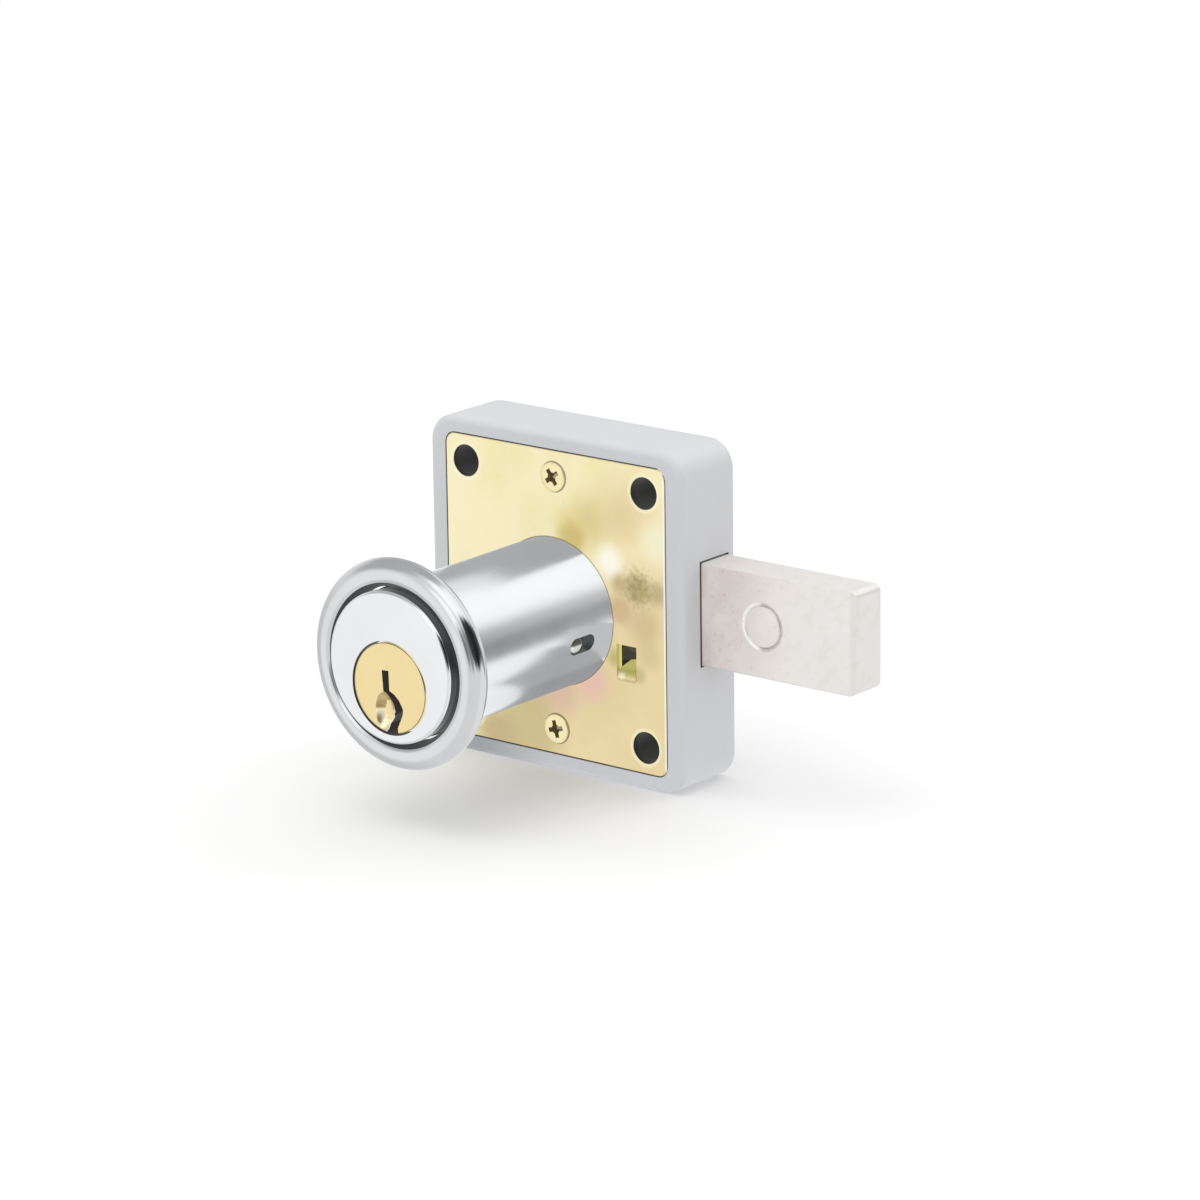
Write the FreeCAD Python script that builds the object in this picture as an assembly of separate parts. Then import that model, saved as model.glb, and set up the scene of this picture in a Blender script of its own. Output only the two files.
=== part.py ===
import FreeCAD, Part
import math
import os

from FreeCAD import Vector

# Cabinet lock with a keyed barrel and a half turn crank that throws a deadbolt.
# Millimetres. X runs to the right along the bolt's throw, Y into the cabinet, Z up.
# The origin is the centre of the four mounting holes, on the front face of the cover plate.

# Case
case_width = 47.8
case_height = 51.7
case_depth = 12.8
case_corner_r = 4.2
case_edge_r = 1.0
case_back_edge_r = 0.8
case_back_wall = 1.7
rim_sides = 3.05
rim_ends = 2.35

# Cover plate, set flush into the rim
plate_thick = 1.2
plate_gap = 0.15
plate_corner_r = 1.7
plate_edge_r = 0.15

# Four mounting holes and their bosses, set in from the outside of the case
mount_from_side = 7.05
mount_from_end = 6.48
hole_r = 2.44
mount_boss_r = 4.4
mount_sink_r = 4.0
mount_sink_depth = 1.6

# Screws that hold the cover plate on the case
cover_screw_from_end = 6.45
cover_screw_r = 1.45
cover_screw_length = 7.0
cover_head_r = 2.5
cover_head_high = 0.9
cover_head_rim = 0.4
cover_head_bulge = 0.55
thread_room = 0.6
cover_boss_r = 3.2
recess_width = 0.75
recess_length = 2.7
recess_depth = 0.75

# Barrel, off centre in the plate
barrel_x = -0.45
barrel_z = -1.23
sleeve_r = 11.3
sleeve_wall = 1.15
sleeve_floor = 4.2
face_y = -37.3
flange_thick = 1.7
flange_edge_r = 0.45
core_gap = 0.05
core_back_gap = 1.4

# Window in the sleeve with the pin that keeps the core in
window_angle = -8.8
window_length = 4.4
window_width = 3.0
window_from_floor = 2.8
keeper_gap = 0.2
keeper_wall = 1.7
keeper_sink = 0.25
keeper_hole_gap = 0.1
keeper_edge_share = 0.45

# Screws from behind the plate into the sleeve's floor
barrel_screw_r = 1.25
barrel_screw_x = 7.0
barrel_screw_z = 3.2
barrel_screw_end_wall = 1.0
barrel_head_r = 2.4

# Plug, below the middle of the core
core_wall = 1.14
plug_head_r = 6.5
plug_head_length = 2.55
plug_inset = 0.15
plug_edge = 0.35
plug_shoulder = 0.6
plug_neck_r = 4.6
plug_neck_step = 0.25
tenon_r = 2.9
tenon_flats = 2.2
running_gap = 0.05
head_gap = 0.1
mouth_chamfer = 0.46
neck_gap = 0.4
clip_thick = 0.8
clip_gap = 0.29
clip_mouth = 6.0

# Keyway, seen from the front about the plug's axis: the curve at its upper right, then the rest clockwise
keyway_curve = [(-0.15, -0.4), (1.35, -1.25), (2.48, -2.6)]
keyway_points = [(2.48, -2.6), (2.48, -3.3), (1.4, -5.2), (1.3, -7.2), (-0.6, -7.2), (-0.48, -5.1),
                 (1.14, -3.5), (0.06, -3.3), (-1.1, -0.7), (-1.3, 2.2)]
keyway_crown = [(-1.3, 2.2), (-0.725, 2.65), (-0.15, 2.2)]

# Shallow hollow left of the keyway, from the plug's axis
relief_left = 3.3
relief_right = 0.4
relief_low = 5.0
relief_top = 0.7
relief_corner_r = 1.4
relief_depth = 0.8

# Pins, seen at the shear line where the right key lifts them
pin_count = 5
pin_pitch = 4.2
first_pin_depth = 5.1
pin_r = 1.4
pin_gap = 0.08
shear_gap = 0.03
key_cuts = [0.6, 1.4, 0.9, 1.8, 1.2]
key_pin_point = 0.6
key_pin_point_r = 0.63
driver_edge = 0.2
spring_length = 2.5
spring_wire_r = 0.16
spring_turns = 4
strip_side = 0.22
strip_thick = 0.8
strip_end = 1.8

# Crank behind the plate
cam_front_gap = 0.4
cam_thick = 2.3
cam_hub_r = 5.2
cam_tip_r = 2.45
crank_pin_r = 1.4
crank_pin_end_gap = 0.55
crank_pin_edge = 0.25
cam_screw_head_r = 3.4
cam_screw_slot = 0.45
cam_screw_head_high = 0.9
cam_screw_r = 1.45
cam_screw_length = 6.0

# Bolt, as thick as the room behind the crank and thrown as far as the case allows
bolt_high = 15.6
bolt_crank_gap = 0.55
bolt_mid_z = 1.2
bolt_end_r = 0.9
bolt_edge_r = 0.4
bolt_slot_gap = 0.22
bolt_floor_gap = 0.15
bolt_flush = 0.05
ear_web = 2.4
ear_side_gap = 0.5543
ear_back_web = 1.6
ear_corner_r = 1.6
groove_depth = 3.3
groove_gap = 0.18
insert_r = 3.5
insert_from_end = 16.5
insert_fit = 0.02

# Rails on the case floor that guide the bolt
rail_thick = 1.5
rail_high = 5.0
rail_gap = 0.15

# Stop tabs bent inward from windows in the plate
tab_from_crank = 0.05
tab_window_width = 3.65
tab_window_high = 3.65
tab_stop_gap = 0.16
tab_bend_r = 0.3
tab_angle = 76.0
tab_length = 3.0
tab_side_gap = 0.12

# Trim ring that slides on the barrel
ring_width = 4.6
ring_gap = 0.25
ring_band = 1.7
ring_crown = 1.45
ring_from_face = 1.55
ring_lip = 0.55
ring_bulge = 1.0
ring_bore_chamfer = 0.25
ring_seat_step = 0.2
ring_seat_behind = 0.1

# How far cutters reach past a face, and joined pieces into their wall
past = 1.0
sunk = 0.5

# Places worked out from the sizes above
half_w = case_width / 2
half_h = case_height / 2
floor_y = case_depth - case_back_wall
pocket_x = half_w - rim_sides
pocket_z = half_h - rim_ends
pocket_corner_r = plate_corner_r + plate_gap
mount_x = half_w - mount_from_side
mount_z = half_h - mount_from_end
cover_screw_z = half_h - cover_screw_from_end
flange_back_y = face_y + flange_thick
core_r = sleeve_r - sleeve_wall - core_gap
core_back_y = -sleeve_floor - core_back_gap
plug_body_r = plug_head_r - plug_shoulder
plug_bore_r = plug_body_r + running_gap
plug_x = barrel_x
plug_z = barrel_z - (core_r - core_wall - plug_bore_r)
plug_face_y = face_y + plug_inset
plug_step_y = plug_face_y + plug_head_length
plug_neck_y = core_back_y + clip_thick + 2 * running_gap
plug_body_end_y = plug_neck_y + plug_neck_step
clip_r = plug_bore_r + core_wall - clip_gap
window_y = -sleeve_floor - window_from_floor
keeper_r = window_width / 2 - keeper_gap
keeper_outer = sleeve_r - keeper_sink
keeper_inner = plug_bore_r + keeper_wall
barrel_screw_end_y = -sleeve_floor + barrel_screw_end_wall
neck_hole_r = plug_neck_r + neck_gap
cam_front_y = plate_thick + cam_front_gap
cam_back_y = cam_front_y + cam_thick
cam_seat_y = cam_back_y - cam_screw_head_high - 2 * running_gap
bolt_front_y = cam_back_y + bolt_crank_gap
bolt_back_y = floor_y - bolt_floor_gap
crank_pin_end_y = bolt_front_y + groove_depth - crank_pin_end_gap
bolt_low_z = bolt_mid_z - bolt_high / 2
bolt_top_z = bolt_mid_z + bolt_high / 2
groove_r = crank_pin_r + groove_gap
groove_turn = math.asin(2 / math.pi)
groove_bulge_share = math.cos(groove_turn) - 1 + 2 * groove_turn / math.pi
crank_r = (pocket_x - ear_side_gap - ear_web - groove_r - plug_x) / (1 + groove_bulge_share)
bolt_end_x = half_w - bolt_flush + 2 * crank_r
groove_mid_x = plug_x + crank_r
groove_bulge = crank_r * groove_bulge_share
bolt_tail_x = groove_mid_x - groove_bulge - groove_r - ear_back_web
ear_right_x = groove_mid_x + groove_bulge + groove_r + ear_web
ear_top_z = plug_z + crank_r + groove_r + ear_back_web
insert_x = bolt_end_x - insert_from_end
cam_lean = math.asin((cam_hub_r - cam_tip_r) / crank_r)
tab_from_axis = crank_r - tab_from_crank
tab_inner = tab_from_axis - tab_window_width / 2 + tab_side_gap
cam_edge_z = plug_z - (cam_hub_r - tab_inner * math.sin(cam_lean)) / math.cos(cam_lean)
tab_outer_r = tab_bend_r + plate_thick
tab_turn = math.radians(tab_angle)
tab_hinge_z = cam_edge_z - tab_stop_gap - tab_outer_r * math.sin(tab_turn) - tab_length * math.cos(tab_turn)
tab_window_top = tab_hinge_z + tab_outer_r + tab_window_high
shear_z = plug_z + plug_body_r
chamber_r = pin_r + pin_gap
strip_width = 2 * (chamber_r + strip_side)
strip_top_z = barrel_z + math.sqrt(core_r ** 2 - (strip_width / 2) ** 2) - running_gap
strip_low_z = strip_top_z - strip_thick
spring_top_z = strip_low_z - spring_wire_r - running_gap
spring_low_z = spring_top_z - spring_length
driver_low_z = shear_z + shear_gap + running_gap
driver_top_z = spring_low_z - spring_wire_r - running_gap
first_pin_y = face_y + first_pin_depth
last_pin_y = first_pin_y + pin_pitch * (pin_count - 1)
ring_r = sleeve_r + ring_width
ring_front_y = face_y + ring_from_face
ring_rim_y = ring_front_y + ring_crown
ring_back_y = ring_rim_y + ring_band
ring_seat_y = ring_back_y + ring_seat_behind


def rod(x, z, r, y0, y1):
    """A round bar along Y."""
    return Part.makeCylinder(r, y1 - y0, Vector(x, y0, z), Vector(0, 1, 0))


def taper(x, z, r0, r1, y0, y1):
    """A cone along Y with radius r0 at y0 and r1 at y1."""
    return Part.makeCone(r0, r1, y1 - y0, Vector(x, y0, z), Vector(0, 1, 0))


def block(x0, x1, y0, y1, z0, z1):
    return Part.makeBox(x1 - x0, y1 - y0, z1 - z0, Vector(x0, y0, z0))


def slab(x0, x1, z0, z1, r, y0, y1):
    """A block from y0 to y1 whose four corners, seen along Y, are rounded."""
    k = r * (1 - math.sqrt(0.5))
    a = [Vector(x0 + r, y0, z0), Vector(x1 - r, y0, z0), Vector(x1, y0, z0 + r), Vector(x1, y0, z1 - r),
         Vector(x1 - r, y0, z1), Vector(x0 + r, y0, z1), Vector(x0, y0, z1 - r), Vector(x0, y0, z0 + r)]
    m = [Vector(x1 - k, y0, z0 + k), Vector(x1 - k, y0, z1 - k), Vector(x0 + k, y0, z1 - k),
         Vector(x0 + k, y0, z0 + k)]
    edges = []
    for i in range(4):
        edges.append(Part.LineSegment(a[2 * i], a[2 * i + 1]).toShape())
        edges.append(Part.Arc(a[2 * i + 1], m[i], a[(2 * i + 2) % 8]).toShape())
    return Part.Face(Part.Wire(edges)).extrude(Vector(0, y1 - y0, 0))


def turned(profile, x, z):
    """Revolves edges drawn in the plane of radius and Y about the Y line through x, z."""
    face = Part.Face(Part.Wire(profile))
    face.translate(Vector(x, 0, z))
    return face.revolve(Vector(x, 0, z), Vector(0, 1, 0), 360)


def dome(r0, y0, r1, y1, bulge):
    """An arc of radius and Y, from straight at bulge 0 to a quarter of an ellipse at bulge 1."""
    share = 0.5 + bulge * (math.sqrt(0.5) - 0.5)
    middle = Vector(r1 + (r0 - r1) * share, y0 + (y1 - y0) * share, 0)
    return Part.Arc(Vector(r0, y0, 0), middle, Vector(r1, y1, 0)).toShape()


def chain(points):
    """Straight edges through radius and Y pairs."""
    vectors = [Vector(r, y, 0) for r, y in points]
    return [Part.LineSegment(a, b).toShape() for a, b in zip(vectors, vectors[1:])]


def edges_at_y(shape, y):
    """The edges that lie whole in the plane at y."""
    found = []
    for edge in shape.Edges:
        box = edge.BoundBox
        if abs(box.YMin - y) < 1e-4 and abs(box.YMax - y) < 1e-4:
            found.append(edge)
    return found


def mount_places():
    return [(sx * mount_x, sz * mount_z) for sz in (1, -1) for sx in (-1, 1)]


def pin_places():
    return [first_pin_y + pin_pitch * i for i in range(pin_count)]


def barrel_screw_places():
    return [(barrel_x + s * barrel_screw_x, barrel_z + barrel_screw_z) for s in (-1, 1)]


def make_case():
    """Tray with bosses, bolt rails and the bolt's slot in the right wall."""
    body = slab(-half_w, half_w, -half_h, half_h, case_corner_r, 0, case_depth)
    body = body.makeFillet(case_edge_r, edges_at_y(body, 0))
    body = body.makeFillet(case_back_edge_r, edges_at_y(body, case_depth))
    body = body.cut(slab(-pocket_x, pocket_x, -pocket_z, pocket_z, pocket_corner_r, -past, floor_y))
    inner = slab(-pocket_x, pocket_x, -pocket_z, pocket_z, pocket_corner_r, plate_thick, floor_y + sunk)
    added = []
    for x, z in mount_places():
        added.append(rod(x, z, mount_boss_r, plate_thick, floor_y + sunk))
    for s in (-1, 1):
        added.append(rod(0, s * cover_screw_z, cover_boss_r, plate_thick, floor_y + sunk))
    for z in (bolt_low_z - rail_gap - rail_thick, ear_top_z + rail_gap):
        added.append(block(-pocket_x - past, pocket_x + past, floor_y - rail_high, floor_y + sunk, z,
                           z + rail_thick))
    for piece in added:
        body = body.fuse(piece.common(inner))
    for x, z in mount_places():
        body = body.cut(rod(x, z, hole_r, -past, case_depth + past))
        body = body.cut(taper(x, z, hole_r, mount_sink_r, case_depth - mount_sink_depth, case_depth))
    for s in (-1, 1):
        body = body.cut(rod(0, s * cover_screw_z, cover_screw_r + running_gap, 0,
                            cover_screw_length + thread_room))
    slot = block(pocket_x - sunk, half_w + past, bolt_front_y - bolt_slot_gap, floor_y,
                 bolt_low_z - bolt_slot_gap, bolt_top_z + bolt_slot_gap)
    return body.cut(slot).removeSplitter()


def tab_window(side):
    """The window beside the plug on one side, as its left and right edges."""
    mid = plug_x + side * tab_from_axis
    return mid - tab_window_width / 2, mid + tab_window_width / 2


def make_tab(side):
    """One stop tab, bent inward about the lower edge of its window."""
    x0, x1 = tab_window(side)
    x0 = x0 + tab_side_gap
    x1 = x1 - tab_side_gap
    outer = tab_outer_r
    a = tab_turn

    def at(radius, angle, along):
        y = outer - radius * math.cos(angle) + along * math.sin(a)
        z = tab_hinge_z + radius * math.sin(angle) + along * math.cos(a)
        return Vector(x0, y, z)

    edges = [Part.Arc(at(outer, 0, 0), at(outer, a / 2, 0), at(outer, a, 0)).toShape(),
             Part.LineSegment(at(outer, a, 0), at(outer, a, tab_length)).toShape(),
             Part.LineSegment(at(outer, a, tab_length), at(tab_bend_r, a, tab_length)).toShape(),
             Part.LineSegment(at(tab_bend_r, a, tab_length), at(tab_bend_r, a, 0)).toShape(),
             Part.Arc(at(tab_bend_r, a, 0), at(tab_bend_r, a / 2, 0), at(tab_bend_r, 0, 0)).toShape(),
             Part.LineSegment(at(tab_bend_r, 0, 0), at(outer, 0, 0)).toShape()]
    return Part.Face(Part.Wire(edges)).extrude(Vector(x1 - x0, 0, 0))


def make_cover_plate():
    """Flush plate with its holes, two windows and the stop tabs."""
    x = pocket_x - plate_gap
    z = pocket_z - plate_gap
    plate = slab(-x, x, -z, z, plate_corner_r, 0, plate_thick)
    plate = plate.makeFillet(plate_edge_r, edges_at_y(plate, 0))
    for px, pz in mount_places():
        plate = plate.cut(rod(px, pz, hole_r, -past, plate_thick + past))
    for s in (-1, 1):
        plate = plate.cut(rod(0, s * cover_screw_z, cover_screw_r + running_gap, -past, plate_thick + past))
    plate = plate.cut(rod(plug_x, plug_z, neck_hole_r, -past, plate_thick + past))
    for px, pz in barrel_screw_places():
        plate = plate.cut(rod(px, pz, barrel_screw_r + running_gap, -past, plate_thick + past))
        sink = barrel_head_r - barrel_screw_r
        plate = plate.cut(taper(px, pz, barrel_screw_r + running_gap, barrel_head_r + running_gap,
                                plate_thick - sink, plate_thick))
    for side in (-1, 1):
        x0, x1 = tab_window(side)
        plate = plate.cut(block(x0, x1, -past, plate_thick + past, tab_hinge_z, tab_window_top))
        plate = plate.fuse(make_tab(side))
    return plate.removeSplitter()


def cross_recess(x, y, z):
    """Two crossed bars cut into a head whose top is at y."""
    a = block(x - recess_length / 2, x + recess_length / 2, y - past, y + recess_depth,
              z - recess_width / 2, z + recess_width / 2)
    b = block(x - recess_width / 2, x + recess_width / 2, y - past, y + recess_depth,
              z - recess_length / 2, z + recess_length / 2)
    return a.fuse(b)


def make_cover_screws():
    """Two low domed screws through the plate into the case."""
    screws = []
    for s in (-1, 1):
        z = s * cover_screw_z
        r = cover_head_r
        crown = dome(r, -cover_head_rim, 0, -cover_head_high, cover_head_bulge)
        rest = chain([(0, -cover_head_high), (0, 0), (r, 0), (r, -cover_head_rim)])
        head = turned([crown] + rest, 0, z)
        shank = rod(0, z, cover_screw_r, 0, cover_screw_length)
        screw = head.fuse(shank).cut(cross_recess(0, -cover_head_high, z).common(
            rod(0, z, r, -cover_head_high - past, 0)))
        screws.append(screw.removeSplitter())
    return Part.makeCompound(screws)


def window_cutter():
    """Round ended slot along Y, standing out of the barrel's axis at the window's angle."""
    r = window_width / 2
    reach = sleeve_r + past
    half = window_length / 2 - r
    cutter = block(0, reach, -half, half, -r, r)
    for s in (-1, 1):
        cutter = cutter.fuse(Part.makeCylinder(r, reach, Vector(0, s * half, 0), Vector(1, 0, 0)))
    cutter.translate(Vector(0, window_y, 0))
    cutter.rotate(Vector(0, 0, 0), Vector(0, -1, 0), window_angle)
    cutter.translate(Vector(barrel_x, 0, barrel_z))
    return cutter.cut(rod(barrel_x, barrel_z, core_r, window_y - window_length, window_y + window_length))


def keeper_rod(r, inner, outer):
    """A radial rod at the front end of the window, between two distances from the barrel's axis."""
    y = window_y - window_length / 2 + keeper_r + 2 * running_gap
    piece = Part.makeCylinder(r, outer - inner, Vector(inner, y, 0), Vector(1, 0, 0))
    piece.rotate(Vector(0, 0, 0), Vector(0, -1, 0), window_angle)
    piece.translate(Vector(barrel_x, 0, barrel_z))
    return piece


def make_barrel_sleeve():
    """Outer tube of the barrel, turned down a little where the ring sits, with a thick floor on the plate."""
    seat = rod(barrel_x, barrel_z, sleeve_r - ring_seat_step, flange_back_y, ring_seat_y)
    sleeve = rod(barrel_x, barrel_z, sleeve_r, ring_seat_y, 0).fuse(seat).removeSplitter()
    sleeve = sleeve.cut(rod(barrel_x, barrel_z, sleeve_r - sleeve_wall, flange_back_y - past, -sleeve_floor))
    sleeve = sleeve.cut(rod(plug_x, plug_z, neck_hole_r, -sleeve_floor - past, past))
    for x, z in barrel_screw_places():
        sleeve = sleeve.cut(rod(x, z, barrel_screw_r + running_gap, -sleeve_floor - past, past))
    return sleeve.cut(window_cutter())


def make_barrel_screws():
    """Two countersunk screws, flush behind the plate."""
    screws = []
    for x, z in barrel_screw_places():
        sink = barrel_head_r - barrel_screw_r
        head = taper(x, z, barrel_screw_r, barrel_head_r, plate_thick - sink, plate_thick)
        shank = rod(x, z, barrel_screw_r, barrel_screw_end_y, plate_thick - sink)
        slot = block(x - barrel_head_r, x + barrel_head_r, plate_thick - sink / 2, plate_thick + past,
                     z - recess_width / 2, z + recess_width / 2)
        screws.append(head.fuse(shank).cut(slot).removeSplitter())
    return Part.makeCompound(screws)


def make_cylinder_core():
    """Core with the face flange, the plug's bore and the pin chambers."""
    core = rod(barrel_x, barrel_z, core_r, flange_back_y, core_back_y)
    flange = rod(barrel_x, barrel_z, sleeve_r, face_y, flange_back_y)
    flange = flange.makeFillet(flange_edge_r, edges_at_y(flange, face_y))
    core = core.fuse(flange)
    core = core.cut(rod(plug_x, plug_z, plug_bore_r, face_y - past, core_back_y + past))
    mouth_r = plug_head_r + head_gap
    core = core.cut(rod(plug_x, plug_z, mouth_r, face_y - past, plug_step_y + running_gap))
    core = core.cut(taper(plug_x, plug_z, mouth_r + mouth_chamfer, mouth_r, face_y, face_y + mouth_chamfer))
    top = barrel_z + core_r + past
    for y in pin_places():
        core = core.cut(Part.makeCylinder(chamber_r, top - plug_z, Vector(plug_x, y, plug_z), Vector(0, 0, 1)))
    core = core.cut(block(plug_x - strip_width / 2, plug_x + strip_width / 2, first_pin_y - strip_end,
                          last_pin_y + strip_end, strip_low_z, top))
    hole = keeper_rod(keeper_r + running_gap / 2, keeper_inner - keeper_hole_gap, sleeve_r + past)
    return core.cut(hole).removeSplitter()


def make_keeper():
    """Pin through the window that stops the core from being drawn out."""
    pin = keeper_rod(keeper_r, keeper_inner, keeper_outer)
    far = max([e for e in pin.Edges if e.isClosed()], key=lambda e: e.CenterOfMass.x)
    return pin.makeFillet(keeper_r * keeper_edge_share, [far])


def keyway_cutter():
    """Keyway profile, extruded from the face to behind the last pin."""
    def placed(points):
        return [Vector(plug_x + x, plug_face_y - past, plug_z + z) for x, z in points]

    curve = placed(keyway_curve)
    points = placed(keyway_points)
    crown = placed(keyway_crown)
    right = Part.BSplineCurve()
    right.interpolate(curve)
    edges = [right.toShape()]
    for a, b in zip(points, points[1:]):
        edges.append(Part.LineSegment(a, b).toShape())
    edges.append(Part.Arc(*crown).toShape())
    edges.append(Part.LineSegment(crown[-1], curve[0]).toShape())
    depth = last_pin_y + pin_pitch / 2 - plug_face_y + past
    return Part.Face(Part.Wire(edges)).extrude(Vector(0, depth, 0))


def plug_blank():
    """Turned shape of the plug, from its face to the tenon."""
    blank = rod(plug_x, plug_z, plug_head_r, plug_face_y, plug_step_y)
    blank = blank.makeChamfer(plug_edge, edges_at_y(blank, plug_face_y))
    blank = blank.fuse(rod(plug_x, plug_z, plug_body_r, plug_step_y, plug_body_end_y))
    blank = blank.cut(rod(plug_x, plug_z, plug_head_r, core_back_y, plug_neck_y).cut(
        rod(plug_x, plug_z, plug_neck_r, core_back_y - past, plug_neck_y + past)))
    return blank.fuse(rod(plug_x, plug_z, plug_neck_r, plug_body_end_y, cam_front_y))


def flatted(r, flats, y0, y1):
    """A round bar on the plug's axis with two flats."""
    return rod(plug_x, plug_z, r, y0, y1).common(
        block(plug_x - r, plug_x + r, y0, y1, plug_z - flats, plug_z + flats))


def make_plug():
    plug = plug_blank().fuse(flatted(tenon_r, tenon_flats, cam_front_y, cam_seat_y - running_gap))
    plug = plug.cut(keyway_cutter())
    plug = plug.cut(slab(plug_x - relief_left, plug_x - relief_right, plug_z - relief_low, plug_z - relief_top,
                         relief_corner_r, plug_face_y - past, plug_face_y + relief_depth))
    for y in pin_places():
        plug = plug.cut(Part.makeCylinder(chamber_r, plug_body_r + past, Vector(plug_x, y, plug_z),
                                          Vector(0, 0, 1)))
    plug = plug.cut(rod(plug_x, plug_z, cam_screw_r + running_gap, cam_seat_y - cam_screw_length - thread_room,
                        cam_back_y))
    return plug.removeSplitter()


def make_plug_clip():
    """Open clip in the plug's groove, behind the core."""
    y0 = core_back_y + running_gap
    clip = rod(plug_x, plug_z, clip_r, y0, y0 + clip_thick)
    clip = clip.cut(rod(plug_x, plug_z, plug_neck_r + running_gap, y0 - past, y0 + clip_thick + past))
    return clip.cut(block(plug_x - clip_mouth / 2, plug_x + clip_mouth / 2, y0 - past, y0 + clip_thick + past,
                          plug_z, plug_z + clip_r + past))


def make_key_pin(number):
    """Pointed pin in the plug, its top on the plug's curve."""
    y = pin_places()[number]
    foot = plug_z + key_cuts[number]
    shank_z = foot + key_pin_point
    pin = Part.makeCone(key_pin_point_r, pin_r, key_pin_point, Vector(plug_x, y, foot), Vector(0, 0, 1))
    pin = pin.fuse(Part.makeCylinder(pin_r, shear_z + past - shank_z, Vector(plug_x, y, shank_z),
                                     Vector(0, 0, 1)))
    rounded = rod(plug_x, plug_z, plug_body_r - shear_gap, y - pin_pitch, y + pin_pitch)
    return pin.common(rounded).removeSplitter()


def make_driver_pin(number):
    """Plain pin between the shear line and its spring."""
    y = pin_places()[number]
    pin = Part.makeCylinder(pin_r, driver_top_z - driver_low_z, Vector(plug_x, y, driver_low_z),
                            Vector(0, 0, 1))
    return pin.makeChamfer(driver_edge, [e for e in pin.Edges if e.isClosed()])


def make_pin_spring(number):
    """Coil above a driver pin, made of quarter turns."""
    y = pin_places()[number]
    radius = pin_r - spring_wire_r - pin_gap
    steps = 4 * spring_turns

    def at(t):
        angle = t * math.pi / 2
        z = spring_low_z + spring_length * t / steps
        return Vector(plug_x + radius * math.cos(angle), y + radius * math.sin(angle), z)

    edges = [Part.Arc(at(i), at(i + 0.5), at(i + 1)).toShape() for i in range(steps)]
    start = Part.Wire(Part.Circle(at(0), Vector(0, 1, 0), spring_wire_r).toShape())
    return Part.Wire(edges).makePipeShell([start], True, False)


def make_chamber_strip():
    """Brass strip that closes the five chambers."""
    return block(plug_x - strip_width / 2 + running_gap, plug_x + strip_width / 2 - running_gap,
                 first_pin_y - strip_end + running_gap, last_pin_y + strip_end - running_gap,
                 strip_low_z, strip_top_z)


def make_drive_cam():
    """Crank arm on the plug's tenon, pointing at the bolt's end at rest."""
    tip_x = plug_x + crank_r
    s = math.sin(cam_lean)
    c = math.cos(cam_lean)

    def at(x, r, side):
        return Vector(x + r * s, cam_front_y, plug_z + side * r * c)

    edges = [Part.LineSegment(at(plug_x, cam_hub_r, -1), at(tip_x, cam_tip_r, -1)).toShape(),
             Part.Arc(at(tip_x, cam_tip_r, -1), Vector(tip_x + cam_tip_r, cam_front_y, plug_z),
                      at(tip_x, cam_tip_r, 1)).toShape(),
             Part.LineSegment(at(tip_x, cam_tip_r, 1), at(plug_x, cam_hub_r, 1)).toShape(),
             Part.Arc(at(plug_x, cam_hub_r, 1), Vector(plug_x - cam_hub_r, cam_front_y, plug_z),
                      at(plug_x, cam_hub_r, -1)).toShape()]
    cam = Part.Face(Part.Wire(edges)).extrude(Vector(0, cam_thick, 0))
    cam = cam.cut(flatted(tenon_r + running_gap, tenon_flats + running_gap, cam_front_y - past,
                          cam_seat_y + past))
    cam = cam.cut(rod(plug_x, plug_z, cam_screw_head_r + 2 * running_gap, cam_seat_y, cam_back_y + past))
    return cam.cut(rod(tip_x, plug_z, crank_pin_r, cam_front_y - past, cam_back_y + past))


def make_crank_pin():
    pin = rod(plug_x + crank_r, plug_z, crank_pin_r, cam_front_y, crank_pin_end_y)
    return pin.makeChamfer(crank_pin_edge, edges_at_y(pin, crank_pin_end_y))


def make_cam_screw():
    """Flat headed screw, sunk in the cam."""
    top_y = cam_seat_y + cam_screw_head_high
    head = rod(plug_x, plug_z, cam_screw_head_r, cam_seat_y, top_y)
    shank = rod(plug_x, plug_z, cam_screw_r, cam_seat_y - cam_screw_length, cam_seat_y)
    slot = block(plug_x - cam_screw_head_r, plug_x + cam_screw_head_r, top_y - cam_screw_slot, top_y + past,
                 plug_z - recess_width / 2, plug_z + recess_width / 2)
    return head.fuse(shank).cut(slot).removeSplitter()


def bolt_groove():
    """Groove that the crank pin turns in while the bolt moves evenly with the plug."""
    def at(turn, side):
        drift = crank_r * (math.cos(turn) - 1 + 2 * turn / math.pi)
        nx = math.cos(turn)
        nz = math.sin(turn) - 2 / math.pi
        size = math.hypot(nx, nz)
        x = drift + groove_r * nx / size
        z = crank_r * math.sin(turn) + groove_r * nz / size
        return Vector(groove_mid_x + side * x, bolt_front_y - past, plug_z + z)

    steps = 10
    sides = []
    for side in (1, -1):
        curve = Part.BSplineCurve()
        curve.interpolate([at(math.pi / 2 * i / steps, side) for i in range(steps + 1)])
        sides.append(curve.toShape())
    low = Vector(groove_mid_x, bolt_front_y - past, plug_z - groove_r)
    foot = Part.Arc(at(0, -1), low, at(0, 1)).toShape()
    outline = Part.Wire(Part.__sortEdges__(sides + [foot]))
    return Part.Face(outline).extrude(Vector(0, past + groove_depth, 0))


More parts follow.
